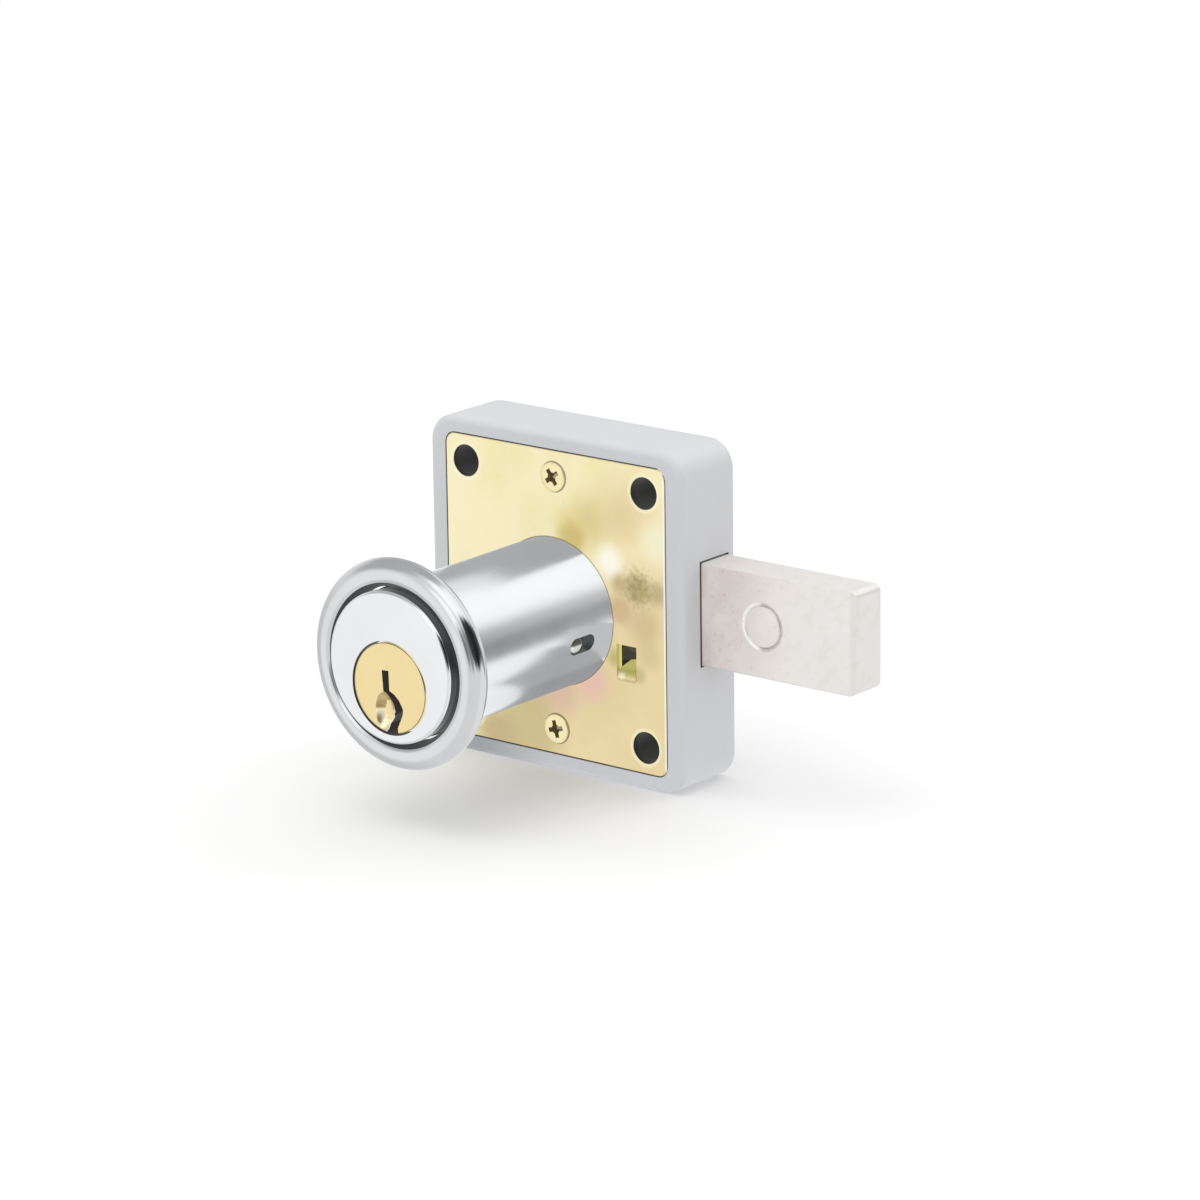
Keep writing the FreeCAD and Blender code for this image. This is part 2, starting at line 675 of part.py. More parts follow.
def make_bolt():
    """Deadbolt, thrown: the long bar and the taller tail that holds the groove."""
    bar = slab(groove_mid_x, bolt_end_x, bolt_low_z, bolt_top_z, bolt_end_r, bolt_front_y, bolt_back_y)
    tail = slab(bolt_tail_x, ear_right_x, bolt_low_z, ear_top_z, ear_corner_r, bolt_front_y, bolt_back_y)
    bolt = bar.fuse(tail).removeSplitter()
    bolt = bolt.makeFillet(bolt_edge_r, edges_at_y(bolt, bolt_front_y) + edges_at_y(bolt, bolt_back_y))
    bolt = bolt.cut(bolt_groove())
    hole = rod(insert_x, bolt_mid_z, insert_r + insert_fit, bolt_front_y - past, bolt_back_y + past)
    return bolt.cut(hole).removeSplitter()


def make_bolt_insert():
    """Hardened pin pressed through the bolt and dressed flush."""
    return rod(insert_x, bolt_mid_z, insert_r, bolt_front_y, bolt_back_y)


def make_trim_ring():
    """Domed ring round the barrel."""
    bore = sleeve_r + ring_gap
    lip = bore + ring_lip
    back = ring_back_y
    crown = dome(ring_r, ring_rim_y, lip, ring_front_y, ring_bulge)
    rest = chain([(lip, ring_front_y), (bore, ring_front_y + ring_lip), (bore, back - ring_bore_chamfer),
                  (bore + ring_bore_chamfer, back), (ring_r - ring_lip, back), (ring_r, back - ring_lip),
                  (ring_r, ring_rim_y)])
    return turned([crown] + rest, barrel_x, barrel_z)


def export(name, shape):
    if not shape.isValid():
        print("not valid:", name)
    shape.exportStep("parts/" + name + ".step")
    print(name, len(shape.Solids), "solid", round(shape.Volume, 2), "mm3")


os.makedirs("parts", exist_ok=True)
export("case", make_case())
export("cover_plate", make_cover_plate())
export("cover_screws", make_cover_screws())
export("barrel_sleeve", make_barrel_sleeve())
export("barrel_screws", make_barrel_screws())
export("cylinder_core", make_cylinder_core())
export("core_keeper_pin", make_keeper())
export("plug", make_plug())
export("plug_clip", make_plug_clip())
for i in range(pin_count):
    export("key_pin_" + str(i + 1), make_key_pin(i))
    export("driver_pin_" + str(i + 1), make_driver_pin(i))
    export("pin_spring_" + str(i + 1), make_pin_spring(i))
export("chamber_strip", make_chamber_strip())
export("drive_cam", make_drive_cam())
export("crank_pin", make_crank_pin())
export("cam_screw", make_cam_screw())
export("bolt", make_bolt())
export("bolt_insert", make_bolt_insert())
export("trim_ring", make_trim_ring())
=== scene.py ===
from math import cos, hypot, pi, radians, sin, tau

import bmesh
import bpy
from mathutils import Matrix, Vector


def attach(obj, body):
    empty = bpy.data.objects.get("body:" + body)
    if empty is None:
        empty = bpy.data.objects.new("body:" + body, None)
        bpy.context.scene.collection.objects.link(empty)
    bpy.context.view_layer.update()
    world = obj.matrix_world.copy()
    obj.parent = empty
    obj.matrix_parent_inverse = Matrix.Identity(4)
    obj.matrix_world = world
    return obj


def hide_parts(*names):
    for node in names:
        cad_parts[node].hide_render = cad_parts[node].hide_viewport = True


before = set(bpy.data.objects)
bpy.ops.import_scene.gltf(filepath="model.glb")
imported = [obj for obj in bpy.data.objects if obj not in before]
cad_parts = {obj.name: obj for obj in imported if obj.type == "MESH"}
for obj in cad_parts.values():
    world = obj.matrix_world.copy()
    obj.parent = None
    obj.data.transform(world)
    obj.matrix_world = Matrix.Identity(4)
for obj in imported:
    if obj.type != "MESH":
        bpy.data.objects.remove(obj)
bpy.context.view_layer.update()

scene = bpy.context.scene
mm = 0.001  # shapes are drawn in millimetres and scaled down when they are finished
print("frame loaded")

# What several pieces share
barrelX, barrelZ = -0.45, -1.23
plugX, plugZ = -0.45, -4.24
barrel = {"radius": 11.3, "screwHole": 1.3}
barrelScrews = [(barrelX + s * 7.0, barrelZ + 3.2) for s in (-1, 1)]
chambers = {"first": -32.2, "pitch": 4.2, "count": 5, "radius": 1.48}
mountHoles = [(sx * 16.85, sz * 19.37) for sz in (1, -1) for sx in (-1, 1)]
mountRadius = 2.44
coverScrewZ, coverScrewRadius = 19.4, 2.24


# shape helpers, all in millimetres

def box(x0, x1, y0, y1, z0, z1):
    bm = bmesh.new()
    bmesh.ops.create_cube(bm, size=1.0)
    bmesh.ops.scale(bm, vec=(x1 - x0, y1 - y0, z1 - z0), verts=bm.verts)
    bmesh.ops.translate(bm, vec=((x0 + x1) / 2, (y0 + y1) / 2, (z0 + z1) / 2), verts=bm.verts)
    return bm


def bevelEdges(bm, edges, width, segments=3):
    bmesh.ops.bevel(bm, geom=edges, offset=width, offset_type="OFFSET", affect="EDGES", segments=segments,
                    profile=0.5, clamp_overlap=True, material=-1)


def bevelWhere(bm, pick, width, segments=3):
    bevelEdges(bm, [e for e in bm.edges if pick(e.verts[0].co, e.verts[1].co)], width, segments)


def alongY(a, b):
    return abs(a.x - b.x) < 1e-4 and abs(a.z - b.z) < 1e-4


def atY(y):
    return lambda a, b: abs(a.y - y) < 1e-3 and abs(b.y - y) < 1e-3


def roundedBox(x0, x1, z0, z1, corner, y0, y1, steps=8):
    bm = box(x0, x1, y0, y1, z0, z1)
    bevelWhere(bm, alongY, corner, steps)
    return bm


def moved(bm, turn=0.0, axis="Y", about=(0, 0, 0), by=(0, 0, 0)):  # turned by degrees, then shifted
    bmesh.ops.rotate(bm, cent=about, matrix=Matrix.Rotation(radians(turn), 3, axis), verts=bm.verts)
    bmesh.ops.translate(bm, vec=by, verts=bm.verts)
    return bm


def rod(x, z, r, y0, y1, steps=64, r1=None):  # along Y, a cone if r1 is given
    bm = bmesh.new()
    bmesh.ops.create_cone(bm, cap_ends=True, segments=steps, radius1=r, radius2=r if r1 is None else r1,
                          depth=y1 - y0)
    return moved(bm, -90, "X", by=(x, (y0 + y1) / 2, z))


def post(x, y, z, r, high, steps=32):  # along Z, from its middle
    bm = bmesh.new()
    bmesh.ops.create_cone(bm, cap_ends=True, segments=steps, radius1=r, radius2=r, depth=high)
    return moved(bm, by=(x, y, z))


def chamberCutters(middle, high):  # the pin chambers, with their middle above the plug's axis
    return [post(plugX, chambers["first"] + chambers["pitch"] * k, plugZ + middle,
                 chambers["radius"], high) for k in range(chambers["count"])]


def turned(profile, x, z, steps=128, closed=False):  # profile is radius and Y, spun about the Y line
    bm = bmesh.new()
    chain = [bm.verts.new((x + r, y, z)) for r, y in profile]
    edges = [bm.edges.new(pair) for pair in zip(chain, chain[1:])]
    if closed:
        edges.append(bm.edges.new((chain[-1], chain[0])))
    bmesh.ops.spin(bm, geom=chain + edges, cent=(x, 0, z), axis=(0, 1, 0), angle=tau, steps=steps,
                   use_merge=True)
    bmesh.ops.remove_doubles(bm, verts=bm.verts, dist=1e-4)
    bmesh.ops.recalc_face_normals(bm, faces=bm.faces)
    return bm


def bevelRing(bm, x, z, r, y, width, segments=3):  # one round edge of a turned shape or a hole
    def onRing(a, b):
        return all(abs(p.y - y) < 1e-3 and abs(hypot(p.x - x, p.z - z) - r) < 0.02 for p in (a, b))
    bevelWhere(bm, onRing, width, segments)


def pushed(bm, face, by):  # extrudes one face
    grown = bmesh.ops.extrude_face_region(bm, geom=face)
    bmesh.ops.translate(bm, vec=by, verts=[v for v in grown["geom"] if isinstance(v, bmesh.types.BMVert)])


def helperObject(bm, name):
    mesh = bpy.data.meshes.new(name)
    bm.to_mesh(mesh)
    bm.free()
    helper = bpy.data.objects.new(name, mesh)
    scene.collection.objects.link(helper)
    return helper


def combine(bm, joins=(), cuts=()):  # Boolean modifiers on helper objects that are gone afterwards
    base = helperObject(bm, "booleanBase")
    helpers = []
    for mode, shapes in (("UNION", joins), ("DIFFERENCE", cuts)):
        for shape in shapes:
            helper = helperObject(shape, "booleanHelper")
            helpers.append(helper)
            modifier = base.modifiers.new("combine", "BOOLEAN")
            modifier.operation = mode
            modifier.solver = "EXACT"
            modifier.object = helper
    made = bpy.data.meshes.new_from_object(base.evaluated_get(bpy.context.evaluated_depsgraph_get()))
    result = bmesh.new()
    result.from_mesh(made)
    bpy.data.meshes.remove(made)
    for helper in helpers + [base]:
        mesh = helper.data
        bpy.data.objects.remove(helper)
        bpy.data.meshes.remove(mesh)
    bmesh.ops.remove_doubles(result, verts=result.verts, dist=1e-4)
    return result


def finishPiece(bm, name, body, node, materials, pickMaterial=None, sharp=32):
    bmesh.ops.recalc_face_normals(bm, faces=bm.faces)
    if pickMaterial:
        for face in bm.faces:
            face.material_index = pickMaterial(face.calc_center_median(), face.normal)
    bmesh.ops.scale(bm, vec=(mm, mm, mm), verts=bm.verts)
    piece = helperObject(bm, name)
    piece.visible_glossy = False  # the photographed chrome shows next to nothing of the other pieces
    for face in piece.data.polygons:
        face.use_smooth = True
    piece.data.set_sharp_from_angle(angle=radians(sharp))
    evenNormals = piece.modifiers.new("evenNormals", "WEIGHTED_NORMAL")
    evenNormals.keep_sharp = True
    for material in materials:
        piece.data.materials.append(material)
    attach(piece, body)
    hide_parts(node)
    print("made", name, len(piece.data.polygons), "faces")


# material helpers, and shared effects as node groups

def wire(tree, pairs):
    for source, target in pairs:
        tree.links.new(source, target)


def setOrLink(tree, socket, value):
    if isinstance(value, bpy.types.NodeSocket):
        tree.links.new(value, socket)
    else:
        socket.default_value = value


def objectPlace(tree):
    return tree.nodes.new("ShaderNodeTexCoord").outputs["Object"]


def mathNode(tree, operation, first, second, clamp=False):
    node = tree.nodes.new("ShaderNodeMath")
    node.operation = operation
    node.use_clamp = clamp
    setOrLink(tree, node.inputs[0], first)
    setOrLink(tree, node.inputs[1], second)
    return node.outputs[0]


def times(tree, first, second):
    return mathNode(tree, "MULTIPLY", first, second)


def vectorNode(tree, operation, first, second):
    node = tree.nodes.new("ShaderNodeVectorMath")
    node.operation = operation
    tree.links.new(first, node.inputs[0])
    setOrLink(tree, node.inputs[1], second)
    return node.outputs["Vector" if operation == "MULTIPLY" else "Value"]


def mapRange(tree, value, low, high, toLow=0.0, toHigh=1.0):
    node = tree.nodes.new("ShaderNodeMapRange")
    node.interpolation_type = "SMOOTHSTEP"
    for label, number in (("From Min", low), ("From Max", high), ("To Min", toLow), ("To Max", toHigh)):
        node.inputs[label].default_value = number
    tree.links.new(value, node.inputs["Value"])
    return node.outputs["Result"]


def noiseNode(tree, vector, scale, detail=3.0, roughness=0.55):
    node = tree.nodes.new("ShaderNodeTexNoise")
    setOrLink(tree, node.inputs["Scale"], scale)
    node.inputs["Detail"].default_value = detail
    node.inputs["Roughness"].default_value = roughness
    tree.links.new(vector, node.inputs["Vector"])
    return node.outputs["Fac"]


def newGroup(name, inputs, outputs):
    group = bpy.data.node_groups.new(name, "ShaderNodeTree")
    for label, value in inputs:
        socket = group.interface.new_socket(label, in_out="INPUT", socket_type="NodeSocketFloat")
        socket.default_value = value
    for label in outputs:
        group.interface.new_socket(label, in_out="OUTPUT", socket_type="NodeSocketFloat")
    return group, group.nodes.new("NodeGroupInput").outputs, group.nodes.new("NodeGroupOutput").inputs


def buildSurfaceDrift():
    # slow unevenness of a finish, as a value about 0.5 and a height of fine orange peel
    group, start, end = newGroup("surfaceDrift", [("Patch Scale", 60.0), ("Peel Scale", 900.0), ("Contrast", 1.0)],
                                 ["Drift", "Peel"])
    place = objectPlace(group)
    slow = noiseNode(group, place, start["Patch Scale"], 4.0)
    spread = times(group, mathNode(group, "SUBTRACT", slow, 0.5), start["Contrast"])
    wire(group, [(mathNode(group, "ADD", spread, 0.5, clamp=True), end["Drift"]),
                 (noiseNode(group, place, start["Peel Scale"], 2.0), end["Peel"])])
    return group


def buildFineGrain():
    # tight mottling and dark specks of plated or cast metal
    group, start, end = newGroup("fineGrain", [("Scale", 2500.0), ("Speck Scale", 1400.0), ("Speck Level", 0.68)],
                                 ["Grain", "Specks"])
    place = objectPlace(group)
    over = mathNode(group, "SUBTRACT", noiseNode(group, place, start["Speck Scale"], 1.0), start["Speck Level"])
    wire(group, [(noiseNode(group, place, start["Scale"], 5.0, 0.65), end["Grain"]),
                 (mathNode(group, "MULTIPLY", over, 14.0, clamp=True), end["Specks"])])
    return group


def buildHairLines():
    # hairline scratches that run along X, Y or Z, by how the place is stretched
    group, start, end = newGroup("hairLines", [("Scale", 60.0), ("Stretch X", 1.0), ("Stretch Y", 1.0),
                                               ("Stretch Z", 1.0), ("Level", 0.62)], ["Lines"])
    stretch = group.nodes.new("ShaderNodeCombineXYZ")
    wire(group, [(start["Stretch " + a], stretch.inputs[a]) for a in "XYZ"])
    stretched = vectorNode(group, "MULTIPLY", objectPlace(group), stretch.outputs[0])
    over = mathNode(group, "SUBTRACT", noiseNode(group, stretched, start["Scale"], 3.0, 0.7), start["Level"])
    wire(group, [(mathNode(group, "MULTIPLY", over, 9.0, clamp=True), end["Lines"])])
    return group


effects = {"surfaceDrift": buildSurfaceDrift(), "fineGrain": buildFineGrain(), "hairLines": buildHairLines()}


def newMaterial(name, metallic, roughness):
    material = bpy.data.materials.new(name)
    material.use_nodes = True
    tree = material.node_tree
    surface = tree.nodes["Principled BSDF"].inputs
    surface["Metallic"].default_value = metallic
    surface["Roughness"].default_value = roughness
    return material, tree, surface


def placeEffect(tree, effect, **values):
    node = tree.nodes.new("ShaderNodeGroup")
    node.node_tree = effects[effect]
    for label, value in values.items():
        node.inputs[label.replace("_", " ")].default_value = value
    return node.outputs


def srgb(r, g, b):
    def linear(c):
        c = c / 255
        return c / 12.92 if c <= 0.04045 else ((c + 0.055) / 1.055) ** 2.4
    return (linear(r), linear(g), linear(b), 1.0)


def mixColor(tree, factor, first, second):  # colours are sockets, or 0 to 255 as a picture has them
    node = tree.nodes.new("ShaderNodeMix")
    node.data_type = "RGBA"
    sockets = {s.identifier: s for s in node.inputs}
    for key, value in (("Factor_Float", factor), ("A_Color", first), ("B_Color", second)):
        setOrLink(tree, sockets[key], srgb(*value) if isinstance(value, tuple) else value)
    return {s.identifier: s for s in node.outputs}["Result_Color"]


def tinted(tree, tone, color, mask, share=1.0):  # a colour laid over tone, as far as mask and share go
    return mixColor(tree, times(tree, mask, share), tone, color)


def dress(tree, surface, tone, drift, roughness, lines=None, share=0.0):  # the colour, and a drifting roughness
    level = mapRange(tree, drift["Drift"], 0.2, 0.8, *roughness)
    if share:
        level = mathNode(tree, "ADD", level, times(tree, lines["Lines"], share))
    wire(tree, [(tone, surface["Base Color"]), (level, surface["Roughness"])])


def bump(tree, surface, height, distance, strength):
    node = tree.nodes.new("ShaderNodeBump")
    node.inputs["Strength"].default_value = strength
    node.inputs["Distance"].default_value = distance
    wire(tree, [(height, node.inputs["Height"]), (node.outputs["Normal"], surface["Normal"])])


def awayFrom(tree, centre):
    return vectorNode(tree, "DISTANCE", objectPlace(tree), tuple(c * mm for c in centre))


def nearPoint(tree, centre, inner, outer):  # 1 within inner of a point in mm, 0 beyond outer
    return mapRange(tree, awayFrom(tree, centre), inner * mm, outer * mm, 1.0, 0.0)


def beyond(tree, axis, start, end, low=0.0, high=1.0):  # rises from start to end along one axis, in mm
    parts = tree.nodes.new("ShaderNodeSeparateXYZ")
    tree.links.new(objectPlace(tree), parts.inputs[0])
    return mapRange(tree, parts.outputs[axis], start * mm, end * mm, low, high)


def makeShadeMetal(name, tone, deep):  # dark dull metal, as painted shade in gaps, bores and recesses
    material, tree, surface = newMaterial(name, 0.2, 0.65)
    drift = placeEffect(tree, "surfaceDrift", Patch_Scale=260, Peel_Scale=2200, Contrast=1.8)
    tree.links.new(mixColor(tree, drift["Drift"], deep, tone), surface["Base Color"])
    bump(tree, surface, drift["Peel"], 0.00003, 0.5)
    return material


def makeSteel(name, tone, deep, roughness, metallic=1.0):
    material, tree, surface = newMaterial(name, metallic, roughness)
    drift = placeEffect(tree, "surfaceDrift", Patch_Scale=220, Peel_Scale=1600, Contrast=1.5)
    grain = placeEffect(tree, "fineGrain", Scale=3200, Speck_Scale=1600, Speck_Level=0.7)
    color = tinted(tree, mixColor(tree, drift["Drift"], deep, tone), (80, 78, 74), grain["Specks"], 0.2)
    dress(tree, surface, color, drift, (roughness * 0.8, roughness * 1.25))
    bump(tree, surface, grain["Grain"], 0.00001, 0.4)
    return material


def makeBrass(name, tone, deep, roughness):
    material, tree, surface = newMaterial(name, 1.0, roughness)
    drift = placeEffect(tree, "surfaceDrift", Patch_Scale=150, Peel_Scale=900, Contrast=1.4)
    lines = placeEffect(tree, "hairLines", Scale=300, Stretch_X=0.4, Stretch_Z=6, Level=0.6)
    color = mixColor(tree, drift["Drift"], deep, tone)
    dress(tree, surface, color, drift, (roughness * 0.8, roughness * 1.3), lines, 0.06)
    bump(tree, surface, drift["Peel"], 0.00001, 0.4)
    return material


print("effects built")


# case

caseLook = {"paint": (209, 210, 212), "paintDeep": (204, 205, 208), "shade": (158, 163, 167),
            "shaded": ((-21.0, 0, -24.8), 4.0, 23.0), "fleck": (120, 122, 124), "shadedBare": (52, 51, 49),
            "shadedBareDeep": (38, 37, 36), "roughness": (0.38, 0.47), "peel": 0.00002}
caseSize = {"halfWide": 23.9, "halfHigh": 25.85, "deep": 12.8, "corner": 4.2, "frontEdge": 1.0, "backEdge": 0.8,
            "pocketX": 20.85, "pocketZ": 23.5, "pocketCorner": 1.85, "pocketEdge": 0.12, "floor": 11.1,
            "plate": 1.2, "bossRadius": 4.4, "screwBossRadius": 3.2, "pilotRadius": 1.5, "pilotDeep": 7.6,
            "sinkRadius": 4.0, "sinkDeep": 1.6, "sinkEdge": 0.15, "rails": ((-8.25, -6.75), (12.94, 14.44)),
            "railHigh": 5.0, "slotY": (4.23, 11.1), "slotZ": (-6.82, 9.22), "slotEdge": 0.12}


def makeCasePaint():
    look = caseLook
    material, tree, surface = newMaterial("casePaint", 0.0, 0.42)
    drift = placeEffect(tree, "surfaceDrift", Patch_Scale=45, Peel_Scale=1500, Contrast=1.6)
    grain = placeEffect(tree, "fineGrain", Scale=4200, Speck_Scale=900, Speck_Level=0.74)
    tone = mixColor(tree, drift["Drift"], look["paintDeep"], look["paint"])
    # painted shade of the barrel and trim ring on the bottom left of the rim
    tone = tinted(tree, tone, look["shade"], nearPoint(tree, *look["shaded"]))
    tone = tinted(tree, tone, look["fleck"], grain["Specks"], 0.12)
    dress(tree, surface, tone, drift, look["roughness"])
    bump(tree, surface, drift["Peel"], look["peel"], 0.5)
    return material


def makeCase():
    size = caseSize
    hx, hz, deep, floor = size["halfWide"], size["halfHigh"], size["deep"], size["floor"]
    px, pz = size["pocketX"], size["pocketZ"]
    (y0, y1), (z0, z1) = size["slotY"], size["slotZ"]
    into = floor + 0.4  # bosses and rails reach into the floor, so that they join
    bm = roundedBox(-hx, hx, -hz, hz, size["corner"], 0, deep, 12)
    bevelWhere(bm, atY(0), size["frontEdge"], 5)
    bevelWhere(bm, atY(deep), size["backEdge"], 4)
    bm = combine(bm, cuts=[roundedBox(-px, px, -pz, pz, size["pocketCorner"], -1, floor, 6)])

    def onPocket(a, b):
        return atY(0)(a, b) and all(abs(p.x) < px + 0.01 and abs(p.z) < pz + 0.01 for p in (a, b))

    bevelWhere(bm, onPocket, size["pocketEdge"], 2)
    joins = [rod(x, z, size["bossRadius"], size["plate"], into) for x, z in mountHoles]
    joins += [rod(0, s * coverScrewZ, size["screwBossRadius"], size["plate"], into) for s in (-1, 1)]
    joins += [box(-px - 0.3, px + 0.3, floor - size["railHigh"], into, low, high) for low, high in size["rails"]]
    cuts = [rod(x, z, mountRadius, -1, deep + 1) for x, z in mountHoles]
    cuts += [rod(x, z, mountRadius - 0.001, deep - size["sinkDeep"], deep + 0.001, 64, size["sinkRadius"])
             for x, z in mountHoles]
    cuts += [rod(0, s * coverScrewZ, size["pilotRadius"], 0, size["pilotDeep"], 32) for s in (-1, 1)]
    cuts.append(box(px - 0.6, hx + 1, y0, y1, z0, z1))
    bm = combine(bm, joins, cuts)

    def onSlot(a, b):
        return all(abs(p.x - hx) < 1e-3 and y0 - 0.01 < p.y < y1 + 0.01 and z0 - 0.01 < p.z < z1 + 0.01
                   for p in (a, b))

    bevelWhere(bm, onSlot, size["slotEdge"], 2)
    for x, z in mountHoles:
        bevelRing(bm, x, z, size["sinkRadius"], deep, size["sinkEdge"], 2)

    def inHole(centre, normal):  # no paint reaches the bores, the bolt slot or the closed inside; the bare casting there is dark as painted shade
        if any(hypot(centre.x - x, centre.z - z) < mountRadius + 0.3 for x, z in mountHoles):
            return 1
        if px - 0.7 < centre.x < hx - 0.02 and y0 - 0.02 < centre.y < y1 + 0.02 and z0 - 0.02 < centre.z < z1 + 0.02:
            return 1
        inside = abs(centre.x) < px + 0.01 and abs(centre.z) < pz + 0.01
        return 1 if inside and size["plate"] + 0.05 < centre.y < floor + 0.01 else 0

    shadedBare = makeShadeMetal("shadedBareCasting", caseLook["shadedBare"], caseLook["shadedBareDeep"])
    finishPiece(bm, "squareCase", "lock_body", "case", [makeCasePaint(), shadedBare], inHole)


makeCase()


# cover plate

plateLook = {"cream": (246, 236, 196), "green": (238, 229, 172), "barrelReflection": (140, 126, 82),
             "barrelReflectionAt": ((15.6, 0, 4.9), 1.5, 4.6), "holeHighlight": (250, 246, 214), "holeHighlightReach": (2.7, 3.2),
             "contactShade": (84, 62, 38), "sideHighlight": (253, 251, 240), "sideHighlightFrom": (20.35, 20.5),
             "grain": (196, 182, 120), "speck": (150, 128, 70), "roughness": (0.28, 0.42), "metallic": 0.6}
plateSize = {"halfWide": 20.7, "halfHigh": 23.35, "corner": 1.7, "thick": 1.2, "edge": 0.2, "holeEdge": 0.1,
             "neckHole": 5.0, "screwHole": 1.5, "barrelSink": 2.46, "windowX": (11.525, 15.175),
             "windowZ": (-7.9365, -4.2865), "windowEdge": 0.14, "tabX": (11.645, 15.055), "tabRoot": 0.4,
             "tabLength": 3.0, "bendRadius": 0.3, "bendAngle": 76.0}

# Colour runs of the plating, with painted reflections, highlights and glare near the barrel and window and painted
# shade below the barrel: colour, centre, where it is full, where it ends, its share
platePatches = [
    ((231, 212, 162), (12, 0, -16), 8, 24, 0.95), ((232, 214, 166), (17, 0, 0), 6, 13, 0.9),
    ((232, 214, 166), (14, 0, 16), 2, 9, 0.8), ((220, 201, 142), (6.5, 0, 13.2), 0.5, 6, 0.9),
    ((228, 210, 140), (2.6, 0, 12.6), 0.5, 4, 0.75), ((206, 187, 113), (3.2, 0, 10.4), 1, 3.8, 0.95),
    ((224, 203, 152), (12.5, 0, 14.5), 0.5, 5, 0.6), ((206, 188, 134), (17.6, 0, -5), 0.5, 3.6, 0.6),
    ((254, 252, 240), (10.4, 0, 7.9), 0.6, 3.7, 0.95), ((242, 240, 210), (19.2, 0, 12.3), 0.5, 4.5, 0.85),
    ((180, 164, 115), (15.6, 0, 4.7), 1.2, 3.4, 1), ((192, 172, 126), (12.2, 0, 5), 0.4, 2.4, 0.9),
    ((190, 172, 130), (19.2, 0, 4.5), 0.5, 2.8, 0.9), ((206, 176, 136), (12.3, 0, 1), 0.8, 3.4, 0.9),
    ((208, 184, 140), (16.5, 0, -0.6), 0.8, 5, 0.85), ((236, 197, 181), (6.6, 0, -11), 0.8, 4.8, 1),
    ((223, 190, 167), (1, 0, -14), 0.8, 5, 0.95), ((216, 186, 163), (-3.5, 0, -15.3), 0.5, 4, 0.85),
    ((206, 189, 139), (-5.5, 0, -20.5), 3, 9, 0.9), ((195, 177, 133), (-12, 0, -22), 1, 6, 0.9),
    ((190, 178, 108), (11.2, 0, -6.5), 0.3, 2.2, 0.8), ((192, 178, 124), (15.7, 0, -8.4), 0.3, 1.9, 0.8),
    ((198, 194, 104), (13.3, 1.6, -8), 1.2, 2.6, 0.9), ((250, 246, 206), (12.4, 0.1, -9.1), 0.2, 0.9, 0.9)]


def makePlateZinc():
    look = plateLook
    material, tree, surface = newMaterial("yellowZinc", look["metallic"], 0.34)
    drift = placeEffect(tree, "surfaceDrift", Patch_Scale=38, Peel_Scale=700, Contrast=1.7)
    grain = placeEffect(tree, "fineGrain", Scale=2600, Speck_Scale=800, Speck_Level=0.72)
    lines = placeEffect(tree, "hairLines", Scale=260, Stretch_X=6, Stretch_Z=0.35, Level=0.66)
    tone = mixColor(tree, mapRange(tree, drift["Drift"], 0.35, 0.75), look["cream"], look["green"])
    for color, centre, inner, outer, share in platePatches:
        near = times(tree, nearPoint(tree, centre, inner, outer), share)
        tone = tinted(tree, tone, color, near, mapRange(tree, drift["Drift"], 0.1, 0.6, 0.7, 1.0))
    # mottled painted reflection of the barrel on the plate at its right
    barrelReflection = mapRange(tree, noiseNode(tree, objectPlace(tree), 1100.0), 0.44, 0.62, 0.0, 0.45)
    tone = tinted(tree, tone, look["barrelReflection"], nearPoint(tree, *look["barrelReflectionAt"]), barrelReflection)
    for x, z in mountHoles:  # painted highlight round each hole's edge, painted shade line round screws and barrel
        tone = tinted(tree, tone, look["holeHighlight"], nearPoint(tree, (x, 0, z), *look["holeHighlightReach"]), 0.55)
    screws = [(0, s * coverScrewZ, coverScrewRadius) for s in (1, -1)]
    for x, z, r in screws + [(barrelX, barrelZ, barrel["radius"])]:
        tone = tinted(tree, tone, look["contactShade"], nearPoint(tree, (x, 0, z), r + 0.06, r + 0.22), 0.8)
    # painted highlight along the plate's right edge
    tone = tinted(tree, tone, look["sideHighlight"], beyond(tree, "X", *look["sideHighlightFrom"]))
    tone = tinted(tree, tone, look["grain"], grain["Grain"], 0.1)
    tone = tinted(tree, tone, look["speck"], grain["Specks"], 0.1)
    dress(tree, surface, tone, drift, look["roughness"], lines, 0.08)
    bump(tree, surface, grain["Grain"], 0.000012, 0.4)
    return material


yellowZinc = makePlateZinc()
tabZinc = makeBrass("tabZinc", (238, 230, 142), (208, 200, 92), 0.34)
gapShade = makeShadeMetal("gapShade", (50, 44, 34), (34, 30, 25))


def makeTab(size, side):  # bent out of the plate at a window's lower edge
    x0, x1 = size["tabX"]
    if side < 0:
        x0, x1 = 2 * plugX - x1, 2 * plugX - x0
    thick = size["thick"]
    outer = size["bendRadius"] + thick
    hinge = size["windowZ"][0] - outer
    turn = radians(size["bendAngle"])
    bm = box(x0, x1, 0, thick, hinge - size["tabRoot"], hinge)
    end = [f for f in bm.faces if f.calc_center_median().z > hinge - 1e-4]
    spun = bmesh.ops.spin(bm, geom=end, cent=(0, outer, hinge), axis=(1, 0, 0), angle=-turn, steps=8,
                          use_merge=False)
    tip = [f for f in spun["geom_last"] if isinstance(f, bmesh.types.BMFace)]
    pushed(bm, tip, Vector((0, sin(turn), cos(turn))) * size["tabLength"])
    bmesh.ops.delete(bm, geom=tip, context="FACES")
    bmesh.ops.remove_doubles(bm, verts=bm.verts, dist=1e-4)
    bmesh.ops.recalc_face_normals(bm, faces=bm.faces)
    return bm


